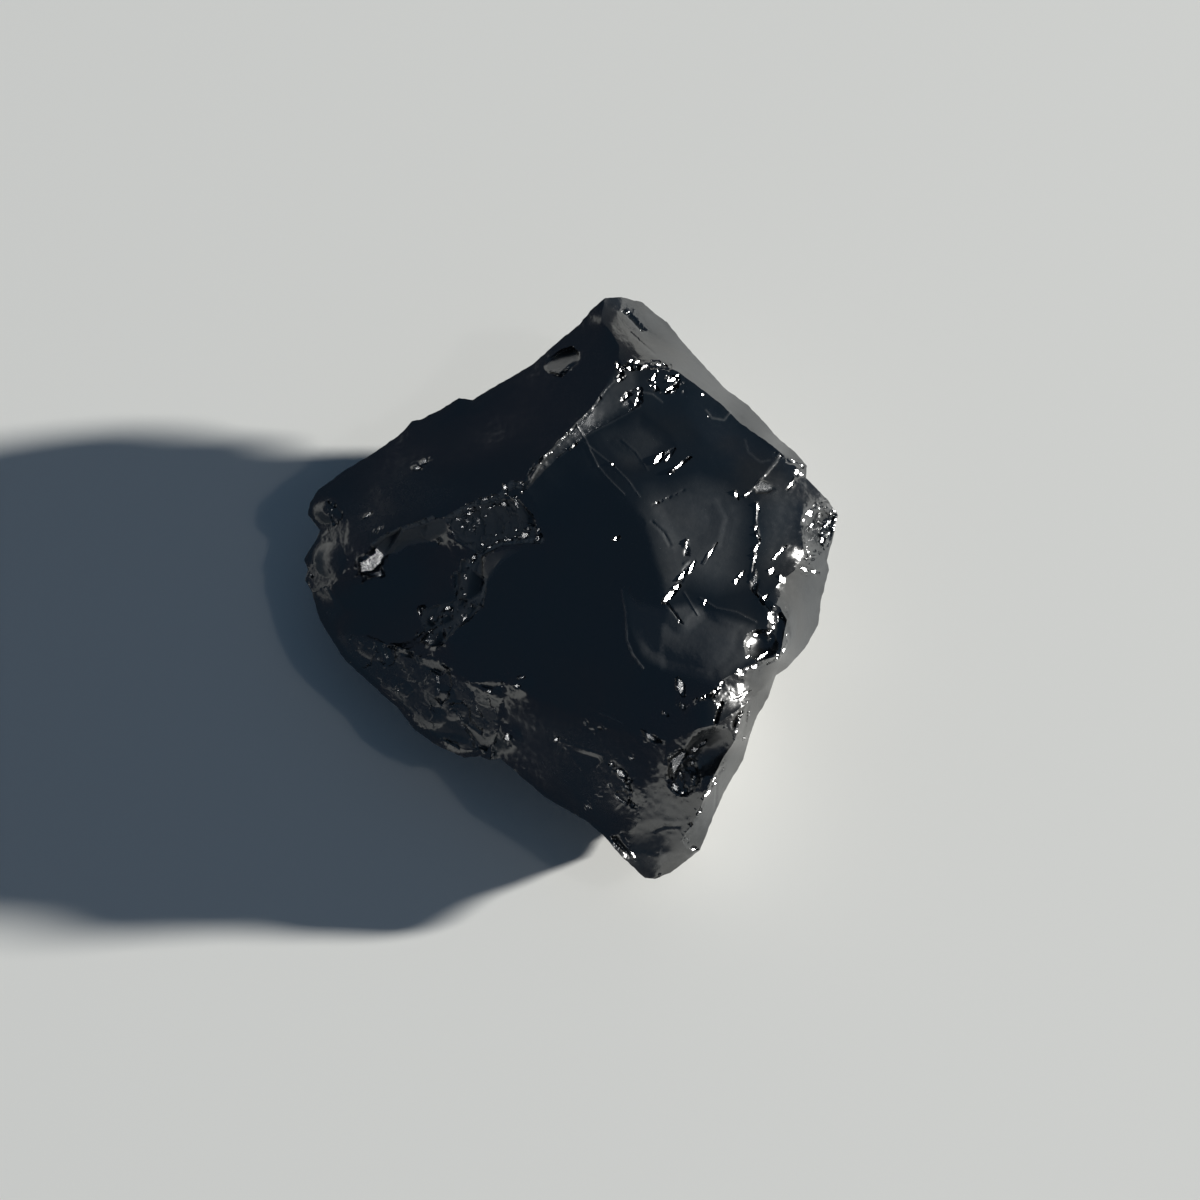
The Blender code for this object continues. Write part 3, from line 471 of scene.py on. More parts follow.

# Splintered runs along edges: points, width, size of the splinters, share turned to the light, satin finish;
# finishes of 5 and 6 are painted light that makes walls in shade pale
RUNS = [
    ([(617, 363), (623, 376), (617, 380)], 7, 4.5, 0.9, 0.0),
    ([(626, 366), (640, 366), (655, 364), (668, 367)], 9, 5.0, 0.8, 0.0),
    ([(650, 381), (654, 389), (664, 392), (676, 386), (678, 378), (668, 378)], 6, 4.5, 0.8, 0.0),
    ([(622, 400), (628, 394), (640, 390), (640, 401), (632, 408)], 6, 4.5, 0.6, 0.0),
    ([(600, 398), (590, 411), (578, 423), (556, 447), (545, 456), (530, 470), (526, 484)], 4, 4.0, 0.2, 0.6),
    ([(524, 486), (512, 484), (500, 497), (482, 501), (463, 510), (448, 519)], 7, 4.5, 0.9, 5.0),
    ([(541, 540), (520, 541), (500, 543), (482, 552), (468, 566)], 6, 4.0, 1.0, 6.0),
    ([(374, 544), (386, 536), (400, 530), (412, 526), (420, 523), (432, 518)], 5, 3.5, 0.6, 5.0),
    ([(456, 574), (457, 600), (446, 609), (440, 620), (444, 640)], 5, 4.0, 0.7, 5.0),
    ([(485, 580), (481, 604), (466, 618)], 5, 4.0, 0.7, 5.0),
    ([(653, 505), (668, 498), (684, 490)], 3, 3.5, 0.3, 0.0),
    ([(776, 455), (786, 460), (797, 462), (806, 470)], 7, 4.5, 0.25, 0.0),
    ([(815, 506), (830, 505), (837, 514), (832, 528), (824, 545), (812, 557),
      (800, 567)], 8, 4.5, 0.35, 0.0),
    ([(806, 512), (803, 525), (806, 545), (808, 556)], 5, 4.0, 0.3, 0.0),
    ([(800, 567), (817, 573)], 6, 4.5, 0.5, 0.0),
    ([(762, 600), (772, 612), (786, 618), (788, 640), (780, 656), (762, 664), (740, 672)], 6, 4.5, 0.4, 0.0),
    ([(748, 655), (748, 642), (757, 633), (772, 631)], 5, 4.0, 0.4, 0.0),
    ([(722, 683), (712, 697), (704, 698), (683, 706)], 6, 4.5, 0.35, 0.0),
    ([(724, 766), (711, 786), (703, 797)], 5, 4.0, 0.4, 0.0),
    ([(703, 800), (698, 815), (684, 832), (688, 846), (700, 850)], 5, 4.0, 0.2, 0.0),
    ([(746, 706), (742, 730), (738, 745)], 8, 5.0, 0.15, 0.0),
    ([(670, 758), (671, 775), (676, 790), (686, 795)], 5, 4.0, 0.3, 0.0),
    ([(612, 764), (622, 775), (628, 790), (634, 805)], 8, 4.5, 0.3, 0.0),
]

# Hackly grounds: outline, size of the chips, steepness, height in mm, share turned to the light, satin
# finish;
# the finishes above 3 are painted light on crushed ground that lies in shade
GROUNDS = [
    ([(447, 518), (470, 508), (490, 498), (520, 500), (535, 520), (540, 540), (500, 542), (480, 555),
      (455, 540)], 9, 0.12, 0.02, 0.55, 3.5),
    ([(388, 645), (430, 658), (455, 676), (475, 688), (500, 700), (498, 727), (488, 750), (460, 750),
      (430, 733), (400, 704), (372, 680), (346, 655), (334, 636), (350, 632)], 12, 0.12, 0.02, 0.05, 0.5),
    ([(308, 505), (330, 495), (350, 520), (345, 560), (330, 585), (345, 610), (330, 625), (316, 600),
      (307, 575), (309, 550), (318, 535)], 12, 0.08, 0.03, 0.05, 0.28),
    ([(804, 508), (815, 502), (836, 508), (836, 525), (829, 550), (812, 560),
      (803, 545)], 8, 0.28, 0.04, 0.1, 0.1),
    ([(668, 760), (690, 748), (705, 765), (700, 790), (682, 797), (670, 785)], 8, 0.25, 0.04, 0.08, 0.35),
    ([(460, 560), (482, 556), (484, 600), (446, 642), (428, 640), (415, 610),
      (456, 600)], 8, 0.14, 0.02, 0.45, 4.0),
    ([(605, 760), (622, 765), (645, 800), (640, 815), (618, 800)], 8, 0.14, 0.02, 0.05, 0.4),
]

# Satin areas that keep their shape: outline, width over which the finish fades in, satin finish;
# the two finishes above 1 are painted light on walls that lie in shade
SATIN_AND_PAINTED_LIGHT = [
    ([(640, 364), (640, 405), (615, 418), (590, 432), (580, 440), (560, 455), (530, 485), (524, 485),
      (545, 455), (575, 424), (605, 388), (619, 364)], 8, 0.55),
    ([(622, 586), (640, 600), (665, 606), (690, 600), (716, 610), (756, 624), (760, 655), (735, 672),
      (716, 690), (690, 680), (660, 672), (640, 655), (626, 625)], 7, 0.95),
    ([(640, 480), (668, 478), (700, 470), (728, 480), (750, 500), (756, 520), (752, 560), (750, 590),
      (716, 600), (690, 592), (666, 602), (654, 575), (642, 540), (632, 512)], 26, 0.85),
    ([(648, 490), (690, 484), (722, 498), (730, 520), (718, 545), (700, 556), (672, 552),
      (652, 530)], 16, 0.85),
    ([(596, 432), (640, 415), (676, 440), (655, 470), (620, 470)], 14, 0.45),
    ([(756, 470), (790, 470), (800, 500), (797, 545), (780, 578), (762, 596), (752, 560),
      (757, 500)], 20, 0.35),
    ([(350, 480), (400, 450), (440, 470), (480, 492), (440, 515), (400, 528), (360, 550), (340, 560),
      (330, 500)], 20, 0.35),
    ([(500, 700), (560, 712), (620, 735), (645, 765), (640, 815), (600, 828), (545, 790),
      (500, 755)], 20, 0.35),
    ([(645, 775), (668, 790), (695, 815), (695, 850), (655, 876), (625, 852), (632, 815)], 10, 0.6),
    ([(705, 725), (735, 722), (728, 755), (700, 790), (688, 765), (676, 748)], 10, 0.6),
    ([(372, 545), (384, 534), (404, 526), (424, 520), (446, 518), (448, 532), (430, 542), (410, 545),
      (396, 554), (384, 556)], 4, 3.5),
    ([(486, 552), (512, 546), (522, 550), (500, 566), (488, 584), (480, 575)], 8, 1.8),
]


def place(across, down, height):
    """Set picture positions back along the line of sight to the given heights, in mm."""
    u = (np.asarray(across, float) - PICTURE_CENTRE[0]) / PIXELS_PER_MM
    v = (PICTURE_CENTRE[1] - np.asarray(down, float)) / PIXELS_PER_MM
    u, v = u / VIEW_DISTANCE, v / VIEW_DISTANCE
    ray = (VIEW_DISTANCE * cos(VIEW_TILT) - height) / (cos(VIEW_TILT) - v * sin(VIEW_TILT))
    x = ray * u
    y = ray * (sin(VIEW_TILT) + v * cos(VIEW_TILT)) - VIEW_DISTANCE * sin(VIEW_TILT)
    return np.stack([x, y, np.asarray(height, float) + 0.0 * x], axis=-1)


def seen(x, y, z):
    """Picture position of a point in space given in mm."""
    depth = VIEW_DISTANCE - (z * cos(VIEW_TILT) - y * sin(VIEW_TILT))
    across = x * VIEW_DISTANCE / depth
    up = (y * cos(VIEW_TILT) + z * sin(VIEW_TILT)) * VIEW_DISTANCE / depth
    return (PICTURE_CENTRE[0] + across * PIXELS_PER_MM, PICTURE_CENTRE[1] - up * PIXELS_PER_MM, z)


def camera_point():
    """Where the picture is seen from, in mm."""
    return np.array([0.0, -VIEW_DISTANCE * sin(VIEW_TILT), VIEW_DISTANCE * cos(VIEW_TILT)])


def leaning(turn, tilt):
    """Unit vector that leans from straight up by the tilt, towards the turn from +X to +Y."""
    t, s = radians(turn), radians(tilt)
    return np.array([sin(s) * cos(t), sin(s) * sin(t), cos(s)])


def glint_way(point, shade):
    """Way a facet at this point looks when it throws a light that reaches it at the camera."""
    key = leaning(degrees(KEY_TURN), 90.0 - degrees(KEY_HEIGHT))
    fill = leaning(degrees(FILL_TURN), 90.0 - degrees(FILL_HEIGHT))
    start = Vector(point + SHADE_AHEAD * key + np.array([0.0, 0.0, SHADE_LIFT]))
    blocked = shade.ray_cast(start, Vector(key))[0] is not None
    to_view = camera_point() - point
    half = to_view / np.linalg.norm(to_view) + (fill if blocked else key)
    return half / np.linalg.norm(half)


def plane_height(xy, anchor, way):
    """Height at which the lines of sight through picture positions meet a plane."""
    camera = camera_point()
    rays = place(xy[:, 0], xy[:, 1], 0.0) - camera
    reach = ((anchor - camera) @ way) / (rays @ way)
    return camera[2] + reach * rays[:, 2]


def nearest(point, others):
    """The one of the other points that appears closest in the picture."""
    return min(others, key=lambda other: (other[0] - point[0]) ** 2 + (other[1] - point[1]) ** 2)


def resample(line, spacing, wobble, rng):
    """Split a line into steps of about the given spacing that wander a little between its corners."""
    points = [line[0]]
    for a, b in zip(line, line[1:]):
        a, b = np.array(a, float), np.array(b, float)
        length = np.hypot(*(b - a)[:2])
        count = max(1, round(length / spacing))
        across = np.array([a[1] - b[1], b[0] - a[0]]) / max(length, 1e-6)
        drift = rng.uniform(-1.0, 1.0, count + 1)
        smooth = (drift[:-1] + drift[1:]) / 2.0
        for k in range(1, count):
            p = a + (b - a) * k / count
            ease = min(1.0, 4.0 * k / count, 4.0 * (count - k) / count)
            p[:2] += across * wobble * smooth[k] * ease
            points.append(tuple(p))
        points.append(tuple(b))
    return points


def inside(px, py, ring):
    """Which positions lie inside the closed ring."""
    hit = np.zeros(len(px), bool)
    for (ax, ay), (bx, by) in zip(ring, ring[1:] + ring[:1]):
        if ay == by:
            continue
        crosses = (ay > py) != (by > py)
        hit ^= crosses & (px < (bx - ax) * (py - ay) / (by - ay) + ax)
    return hit


def line_distance(xy, line):
    """Distance of each position to a line of straight pieces."""
    gap = np.full(len(xy), 1e9)
    for a, b in zip(line, line[1:]):
        a, b = np.array(a, float), np.array(b, float)
        along = b - a
        t = np.clip(((xy - a) @ along) / max(along @ along, 1e-9), 0.0, 1.0)
        gap = np.minimum(gap, np.hypot(*(xy - a - t[:, None] * along).T))
    return gap


def ring_depth(xy, ring):
    """How far each position lies inside the ring, below zero outside it."""
    edge = line_distance(xy, ring + ring[:1])
    return np.where(inside(xy[:, 0], xy[:, 1], ring), edge, -edge)


def fade_in(distance, blend):
    """Share that grows from 0 to 1 over the blend."""
    return np.clip(distance / blend, 0.0, 1.0)


def around(xy, points, margin):
    """Numbers of the positions in the box round some points."""
    low, high = np.min(points, axis=0) - margin, np.max(points, axis=0) + margin
    return np.flatnonzero((xy >= low).all(1) & (xy <= high).all(1))


def search_tree(points):
    """Tree that finds the nearest of some points."""
    tree = kdtree.KDTree(len(points))
    for index, point in enumerate(points):
        tree.insert(point, index)
    tree.balance()
    return tree


def distance_to(xy, others):
    """Distance of each position to the nearest of the others."""
    tree = search_tree([(p[0], p[1], 0.0) for p in others])
    return np.array([tree.find((x, y, 0.0))[2] for x, y in xy])


def clear_of_rim(line, rim, margin):
    """Drop the points of a ridge that wander over the rim, but keep those shared with it."""
    xy = np.array([p[:2] for p in line])
    gap = distance_to(xy, rim)
    keep = (gap < 0.01) | ((gap > margin) & inside(xy[:, 0], xy[:, 1], [tuple(p[:2]) for p in rim]))
    return [p for p, kept in zip(line, keep) if kept]


class Sheet:
    """Triangulated sheet over the picture with a height for each point."""

    def __init__(self, rim, lines, spots):
        self.keys = {}
        self.points = []
        self.heights = []
        self.edges = []
        rim_ids = [self.add(p) for p in rim]
        self.rim_size = len(rim_ids)
        self.edges += list(zip(rim_ids, rim_ids[1:] + rim_ids[:1]))
        for line in lines:
            ids = [self.add(p) for p in line]
            self.edges += [(a, b) for a, b in zip(ids, ids[1:]) if a != b]
        for spot in spots:
            self.add(spot)

    def add(self, point):
        """Number of the point, which is taken in once however many lines share it."""
        key = (round(point[0], 2), round(point[1], 2))
        if key not in self.keys:
            self.keys[key] = len(self.points)
            self.points.append(Vector(point[:2]))
            self.heights.append(float(point[2]))
        return self.keys[key]

    def triangulate(self):
        """Picture positions, heights and triangles inside the rim."""
        points, _, faces, source, _, _ = delaunay_2d_cdt(
            self.points, self.edges, [list(range(self.rim_size))], 1, 1e-6)
        heights = np.array([self.heights[origin[0]] if origin else np.nan for origin in source])
        xy = np.array([(p.x, p.y) for p in points])
        faces = np.array([f for f in faces if len(f) == 3])
        return xy, fill_crossings(heights, faces), faces


def fill_crossings(z, faces):
    """Give points made where two lines cross the mean height of their neighbours."""
    for index in np.flatnonzero(~np.isfinite(z)):
        neighbours = np.unique(faces[(faces == index).any(1)])
        z[index] = np.nanmean(z[neighbours])
    return z


def heights_between(xy, base_xy, base_heights, base_faces):
    """Read heights off a coarse triangulation at many positions."""
    out = np.full(len(xy), np.nan)
    for a, b, c in base_faces:
        pa, pb, pc = base_xy[a], base_xy[b], base_xy[c]
        area = (pb[0] - pa[0]) * (pc[1] - pa[1]) - (pc[0] - pa[0]) * (pb[1] - pa[1])
        if abs(area) < 1e-9:
            continue
        near = around(xy, [pa, pb, pc], 1.0)
        x, y = xy[near, 0], xy[near, 1]
        wb = ((x - pa[0]) * (pc[1] - pa[1]) - (pc[0] - pa[0]) * (y - pa[1])) / area
        wc = ((pb[0] - pa[0]) * (y - pa[1]) - (x - pa[0]) * (pb[1] - pa[1])) / area
        wa = 1.0 - wb - wc
        hit = (wa > -0.02) & (wb > -0.02) & (wc > -0.02)
        level = wa * base_heights[a] + wb * base_heights[b] + wc * base_heights[c]
        out[near[hit]] = level[hit]
    return out


def edge_pairs(faces):
    """Both ends of every edge, each edge once."""
    pairs = np.concatenate([faces[:, [0, 1]], faces[:, [1, 2]], faces[:, [2, 0]]])
    return np.unique(np.sort(pairs, axis=1), axis=0)


def relax(z, faces, loose, rounds):
    """Let the free points sink to the mean of their neighbours, so faces curve softly."""
    pairs = edge_pairs(faces)
    count = np.maximum(np.bincount(pairs.ravel(), minlength=len(z)), 1)
    for _ in range(rounds):
        total = np.bincount(pairs[:, 0], z[pairs[:, 1]], len(z))
        total = total + np.bincount(pairs[:, 1], z[pairs[:, 0]], len(z))
        z = np.where(loose, 0.5 * z + 0.5 * total / count, z)
    return z


def lattice(low, high, spacing, wants_finer):
    """Even net of positions, twice as close where detail is wanted, with the local spacing."""
    step = spacing / 2.0
    row_step = step * ROW_STEP
    rows, cols = np.mgrid[0:int((high[1] - low[1]) / row_step) + 1, 0:int((high[0] - low[0]) / step) + 1]
    xy = np.stack([low[0] + (cols + 0.5 * (rows % 2)) * step, low[1] + rows * row_step], axis=-1)
    xy = xy.reshape(-1, 2)
    coarse = ((rows % 2 == 0) & ((cols - rows // 2) % 2 == 0)).ravel()
    fine = wants_finer(xy) if wants_finer else np.zeros(len(xy), bool)
    keep = coarse | fine
    return xy[keep], np.where(fine, step, spacing)[keep]


def wants_detail(xy):
    """Where the net has to be fine enough for chips, seams and glints."""
    wanted = np.zeros(len(xy), bool)
    for ring in [entry[0] for entry in CHIPS + GROUNDS]:
        near = around(xy, ring, DETAIL_MARGIN)
        wanted[near] |= ring_depth(xy[near], ring) > -DETAIL_MARGIN
    lines = [(line, width) for line, width, *_ in SEAMS + RUNS]
    lines += [([(x0, y0), (x1, y1)], width) for x0, y0, x1, y1, width in GLINTS]
    for line, width in lines:
        margin = 0.5 * width + DETAIL_MARGIN
        near = around(xy, line, margin)
        wanted[near] |= line_distance(xy[near], line) < margin
    return wanted


def build_sheet(rim, lines, spots, spacing, seed, wants_finer=None):
    """Fill the rim with a net of even triangles that follows the ridges."""
    rng = np.random.default_rng(seed)
    coarse_xy, coarse_z, coarse_faces = Sheet(rim, lines, spots).triangulate()

    fine_rim = resample(rim + [rim[0]], RIM_EDGE, RIM_WOBBLE, np.random.default_rng(SEED))[:-1]
    fine_lines = [resample(line, spacing, RIDGE_WOBBLE, rng) for line in lines]
    fine_lines = [clear_of_rim(line, fine_rim, RIM_CLEARANCE * spacing) for line in fine_lines]
    held = fine_rim + [p for line in fine_lines for p in line]

    held_xy = np.array([p[:2] for p in held])
    grid, local = lattice(held_xy.min(0), held_xy.max(0), spacing, wants_finer)
    grid = grid + rng.uniform(-NET_JITTER, NET_JITTER, grid.shape) * local[:, None]
    within = inside(grid[:, 0], grid[:, 1], [p[:2] for p in fine_rim])
    grid, local = grid[within], local[within]
    grid = grid[distance_to(grid, held) > NET_CLEARANCE * local]
    grid_z = heights_between(grid, coarse_xy, coarse_z, coarse_faces)
    free = [(x, y, z) for (x, y), z in zip(grid, grid_z) if np.isfinite(z)]

    xy, z, faces = Sheet(fine_rim, fine_lines, free).triangulate()
    held_keys = {(round(p[0], 2), round(p[1], 2)) for p in held}
    loose = np.array([(round(x, 2), round(y, 2)) not in held_keys for x, y in xy])
    rounds = int(2.0 * (SMOOTHING_LENGTH / spacing) ** 2)
    return xy, relax(z, faces, loose, rounds), faces, len(fine_rim), loose


def scoop_depth(xy, scoops, softness=1):
    """Depth taken away by the scoops at each position."""
    depth = np.zeros(len(xy))
    for across, down, long_half, short_half, turn, deepest in scoops:
        dx, dy = xy[:, 0] - across, xy[:, 1] - down
        c, s = cos(radians(turn)), sin(radians(turn))
        r2 = ((dx * c + dy * s) / long_half) ** 2 + ((dy * c - dx * s) / short_half) ** 2
        depth += deepest * np.clip(1.0 - r2, 0.0, None) ** softness
    return depth


def hollow_depth(xy, hollows):
    """Depth of the edged hollows at each position."""
    depth = np.zeros(len(xy))
    for ring, deepest in hollows:
        depth += deepest * fade_in(ring_depth(xy, ring), HOLLOW_WALL)
    return depth


def unrest(points, height, length, offset):
    """Smooth seeded swell of a fracture surface."""
    shift = Vector((offset, 3.1, 7.7))
    return np.array([noise.noise(Vector(p) / length + shift) * height for p in points])


def ring_share(xy, ring, blend):
    """Numbers of the positions in and round a ring, and how fully each one is inside it."""
    near = around(xy, ring, 1.0)
    return near, fade_in(ring_depth(xy[near], ring), blend)


def middle_of(xy, z, mine, sink=0.0):
    """Middle of some points in space, sunk a little."""
    return place(xy[mine, 0].mean(), xy[mine, 1].mean(), z[mine].mean() - sink)


def cut_chips(xy, z, satin_and_painted_light):
    """Flat chips with short steep walls."""
    for ring, turn, tilt, depth, finish_and_painted_light in CHIPS:
        near, share = ring_share(xy, ring, CHIP_WALL)
        mine = near[share > CORE_SHARE]
        if len(mine) == 0:
            continue
        level = plane_height(xy[near], middle_of(xy, z, mine, depth), leaning(turn, tilt))
        z[near] += (level - z[near]) * share
        satin_and_painted_light[near] = np.maximum(satin_and_painted_light[near], finish_and_painted_light * share)


def slope_of(xy, z):
    """Steepness across and down of the plane that fits some points best."""
    rows = np.column_stack([xy, np.ones(len(xy))])
    return np.linalg.lstsq(rows, z, rcond=None)[0][:2]


def splinter(xy, z, near, share, size, steep, height, bright, shade, rng):
    """Break the ground into small flat cells that meet in ridges, a share of them turned to a light."""
    low, high = xy[near].min(0) - size, xy[near].max(0) + size
    cols, rows = np.meshgrid(np.arange(low[0], high[0], size), np.arange(low[1], high[1], size))
    seeds = np.stack([cols.ravel(), rows.ravel()], axis=1)
    seeds = seeds + rng.uniform(-CELL_JITTER, CELL_JITTER, seeds.shape) * size
    turn = rng.uniform(0.0, 2.0 * pi, len(seeds))
    slope = steep * rng.uniform(CELL_LEAST_SLOPE, 1.0, len(seeds)) / PIXELS_PER_MM
    tilt = np.stack([slope * np.cos(turn), slope * np.sin(turn)], axis=1)
    offset = rng.uniform(-height, height, len(seeds))
    lit = rng.uniform(size=len(seeds)) < bright
    spread = rng.normal(0.0, CELL_SPREAD, (len(seeds), 3))
    tree = search_tree([(x, y, 0.0) for x, y in seeds])
    closest = np.array([[hit[1] for hit in tree.find_n((x, y, 0.0), CELL_MEETS)] for x, y in xy[near]])
    for index in np.flatnonzero(lit):
        spots = near[closest[:, 0] == index]
        if len(spots) < CELL_LEAST_POINTS:
            continue
        middle = middle_of(xy, z, spots)
        level = plane_height(xy[spots], middle, glint_way(middle, shade) + spread[index])
        tilt[index] = slope_of(xy[spots], level) - slope_of(xy[spots], z[spots])
        offset[index] -= LIT_SINK
    away = xy[near][:, None, :] - seeds[closest]
    change = (offset[closest] + (away * tilt[closest]).sum(2)).min(1)
    z[near] += np.clip(change, -LONGEST_STEP, LONGEST_STEP) * share


def break_grounds(xy, z, satin_and_painted_light, shade, rng):
    """Hackly faces, broken into cells all over."""
    for ring, size, steep, height, bright, finish_and_painted_light in GROUNDS:
        near, share = ring_share(xy, ring, GROUND_BLEND)
        splinter(xy, z, near, share, size, steep, height, bright, shade, rng)
        satin_and_painted_light[near] = np.maximum(satin_and_painted_light[near], finish_and_painted_light * share)


def break_runs(xy, z, satin_and_painted_light, shade, rng):
    """Splintered strips along the edges."""
    for line, width, size, bright, finish_and_painted_light in RUNS:
        near = around(xy, line, 0.5 * width)
        share = np.clip(0.5 * width - line_distance(xy[near], line), 0.0, 1.0)
        near, share = near[share > 0.0], share[share > 0.0]
        splinter(xy, z, near, share, size, RUN_STEEP, RUN_HEIGHT, RUN_SHARE * bright, shade, rng)
        satin_and_painted_light[near] = np.maximum(satin_and_painted_light[near], finish_and_painted_light * share)


def draw_seams(xy, z, satin_and_painted_light):
    """Fine raised seams and sunken cracks."""
    for line, width, height, finish_and_painted_light in SEAMS:
        near = around(xy, line, width)
        share = np.clip(1.0 - line_distance(xy[near], line) / (0.5 * width), 0.0, 1.0)
        z[near] += height * share
        satin_and_painted_light[near] = np.maximum(satin_and_painted_light[near], finish_and_painted_light * np.sqrt(share))


def crumbs(rng):
    """Small bright facets at random places in the crushed spots, given like the glints."""
    out = []
    for ring, count in CRUSHED:
        low, high = np.min(ring, axis=0), np.max(ring, axis=0)
        spots = rng.uniform(low, high, (CRUMB_TRIES * count, 2))
        spots = spots[inside(spots[:, 0], spots[:, 1], ring)][:count]
        for x, y in spots:
            turn, length = rng.uniform(*CRUMB_TURN), rng.uniform(*CRUMB_LENGTH)
            out.append((x, y, x + length * cos(turn), y + length * sin(turn), rng.uniform(*CRUMB_WIDTH)))
    return out


def cut_glints(xy, z, satin_and_painted_light, shade, rng):
    """Small facets, widest in the middle, that throw a light at the camera."""
    for x0, y0, x1, y1, width in crumbs(rng) + GLINTS:
        line = [(x0, y0), (x1, y1)]
        spread = rng.normal(0.0, GLINT_SPREAD / width, 3)
        near = around(xy, line, width)
        along = np.array([x1 - x0, y1 - y0], float)
        t = np.clip((xy[near] - line[0]) @ along / max(along @ along, 1e-9), 0.0, 1.0)
        half = 0.5 * GLINT_NARROWING * width * (GLINT_MIDDLE - GLINT_TAPER * np.abs(t - 0.5)) + GLINT_MARGIN
        share = np.clip(half - line_distance(xy[near], line), 0.0, GLINT_BLEND) / GLINT_BLEND
        mine = near[share > CORE_SHARE]
        if len(mine) == 0:
            continue
        middle = middle_of(xy, z, mine)
        level = plane_height(xy[near], middle, glint_way(middle, shade) + spread)
        z[near] += np.clip(level - z[near], -LONGEST_STEP, LONGEST_STEP) * share
        satin_and_painted_light[near] *= 1.0 - share


def detail(points, rim_size, shade):
    """Chips, splinters, seams and glints of the face that is seen, and its satin finish with painted light
    in shaded spots.
    """
    across, down, z = seen(points[:, 0], points[:, 1], points[:, 2])
    xy = np.stack([across, down], axis=1)
    fade = fade_in(distance_to(xy, xy[:rim_size]), RIM_MARGIN)
    satin_and_painted_light = np.zeros(len(xy))
    for ring, blend, finish_and_painted_light in SATIN_AND_PAINTED_LIGHT:
        near, share = ring_share(xy, ring, blend)
        satin_and_painted_light[near] = np.maximum(satin_and_painted_light[near], finish_and_painted_light * share)
    worked = z.copy()
    rng = np.random.default_rng(SEED + 3)
    break_grounds(xy, worked, satin_and_painted_light, shade, rng)
    break_runs(xy, worked, satin_and_painted_light, shade, rng)
    cut_chips(xy, worked, satin_and_painted_light)
    draw_seams(xy, worked, satin_and_painted_light)
    cut_glints(xy, worked, satin_and_painted_light, shade, rng)
    z = z + (worked - z) * fade
    z += unrest(points, FINE_HEIGHT, FINE_LENGTH, 2.0) * fade
    return place(across, down, z), satin_and_painted_light


def upper_sheet():
    """Faces that show from the viewing side, without their fine detail."""
    lines = list(RIDGES.values())
    xy, z, faces, rim_size, loose = build_sheet(RIM, lines, SPOTS, UPPER_EDGE, SEED + 1, wants_detail)
    fade = fade_in(distance_to(xy, xy[:rim_size]), RIM_BLEND)
    depth = scoop_depth(xy, SCOOPS) + scoop_depth(xy, SWALES, 2) + hollow_depth(xy, HOLLOWS)
    z = z - depth * fade
    points = place(xy[:, 0], xy[:, 1], z)
    lift = unrest(points, SWELL_HEIGHT, SWELL_LENGTH, 0.0)
    lift = lift + unrest(points, GRAIN_HEIGHT, GRAIN_LENGTH, 5.0)
    return place(xy[:, 0], xy[:, 1], z + lift * fade), faces, rim_size, loose


def lower_sheet():
    """Hidden walls and the face the stone rests on, joined to the same rim."""
    foot = [seen(x, y, 0.0) for x, y in FOOT]
    heel = [seen(*p) for p in HEEL]
    shoulder = [seen(*p) for p in SHOULDER]
    lines = [foot + foot[:1], heel + heel[:1], shoulder]
    lines += [[corner, nearest(corner, RIM)] for corner in shoulder]
    lines += [[corner, nearest(corner, shoulder + RIM)] for corner in heel]
    lines += [[corner, nearest(corner, heel)] for corner in foot]
    xy, z, faces, rim_size, loose = build_sheet(RIM, lines, [], LOWER_EDGE, SEED + 2)
    fade = fade_in(distance_to(xy, xy[:rim_size]), RIM_BLEND)
    foot_line = resample(foot + foot[:1], FOOT_STEP, 0.0, np.random.default_rng(SEED))
    off_foot = fade_in(distance_to(xy, foot_line), FOOT_BLEND)
    on_foot = inside(xy[:, 0], xy[:, 1], [p[:2] for p in foot])
    points = place(xy[:, 0], xy[:, 1], z)
    lift = unrest(points, WALL_SWELL * SWELL_HEIGHT, SWELL_LENGTH, 9.0) + scoop_depth(xy, WALL_SCOOPS)
    lift += unrest(points, GRAIN_HEIGHT, GRAIN_LENGTH, 5.0)
    z = np.where(on_foot, 0.0, z + lift * fade * off_foot)
    loose = loose | ~on_foot
    loose[:rim_size] = False
    return place(xy[:, 0], xy[:, 1], np.maximum(z, 0.0)), faces, rim_size, loose


def gather(index, values, count):
    """Sums of the rows of values that fall to each point."""
    return np.stack([np.bincount(index, values[:, k], count) for k in range(3)], axis=1)


def summed_normals(points, faces):
    """Normals of the faces round each point, added up by area."""
    a, b, c = (points[faces[:, k]] for k in range(3))
    face_normals = np.cross(b - a, c - a)
    return sum(gather(faces[:, k], face_normals, len(points)) for k in range(3))


def even_walls(points, faces, loose):
    """Even out the walls that run along the line of sight, where the net is drawn out long."""
    sight = np.array([0.0, -sin(VIEW_TILT), cos(VIEW_TILT)])
    pairs = edge_pairs(faces)
    count = np.bincount(pairs.ravel(), minlength=len(points))[:, None]
    first, second = pairs[:, 0], pairs[:, 1]
    for _ in range(WALL_ROUNDS):
        normals = summed_normals(points, faces)
        facing = np.abs(normals @ sight) / np.maximum(np.linalg.norm(normals, axis=1), 1e-9)
        weight = np.clip((WALL_FACING - facing) / WALL_FACING, 0.0, 1.0) * loose
        total = gather(first, points[second], len(points)) + gather(second, points[first], len(points))
        points = points + (total / count - points) * weight[:, None]
    return points


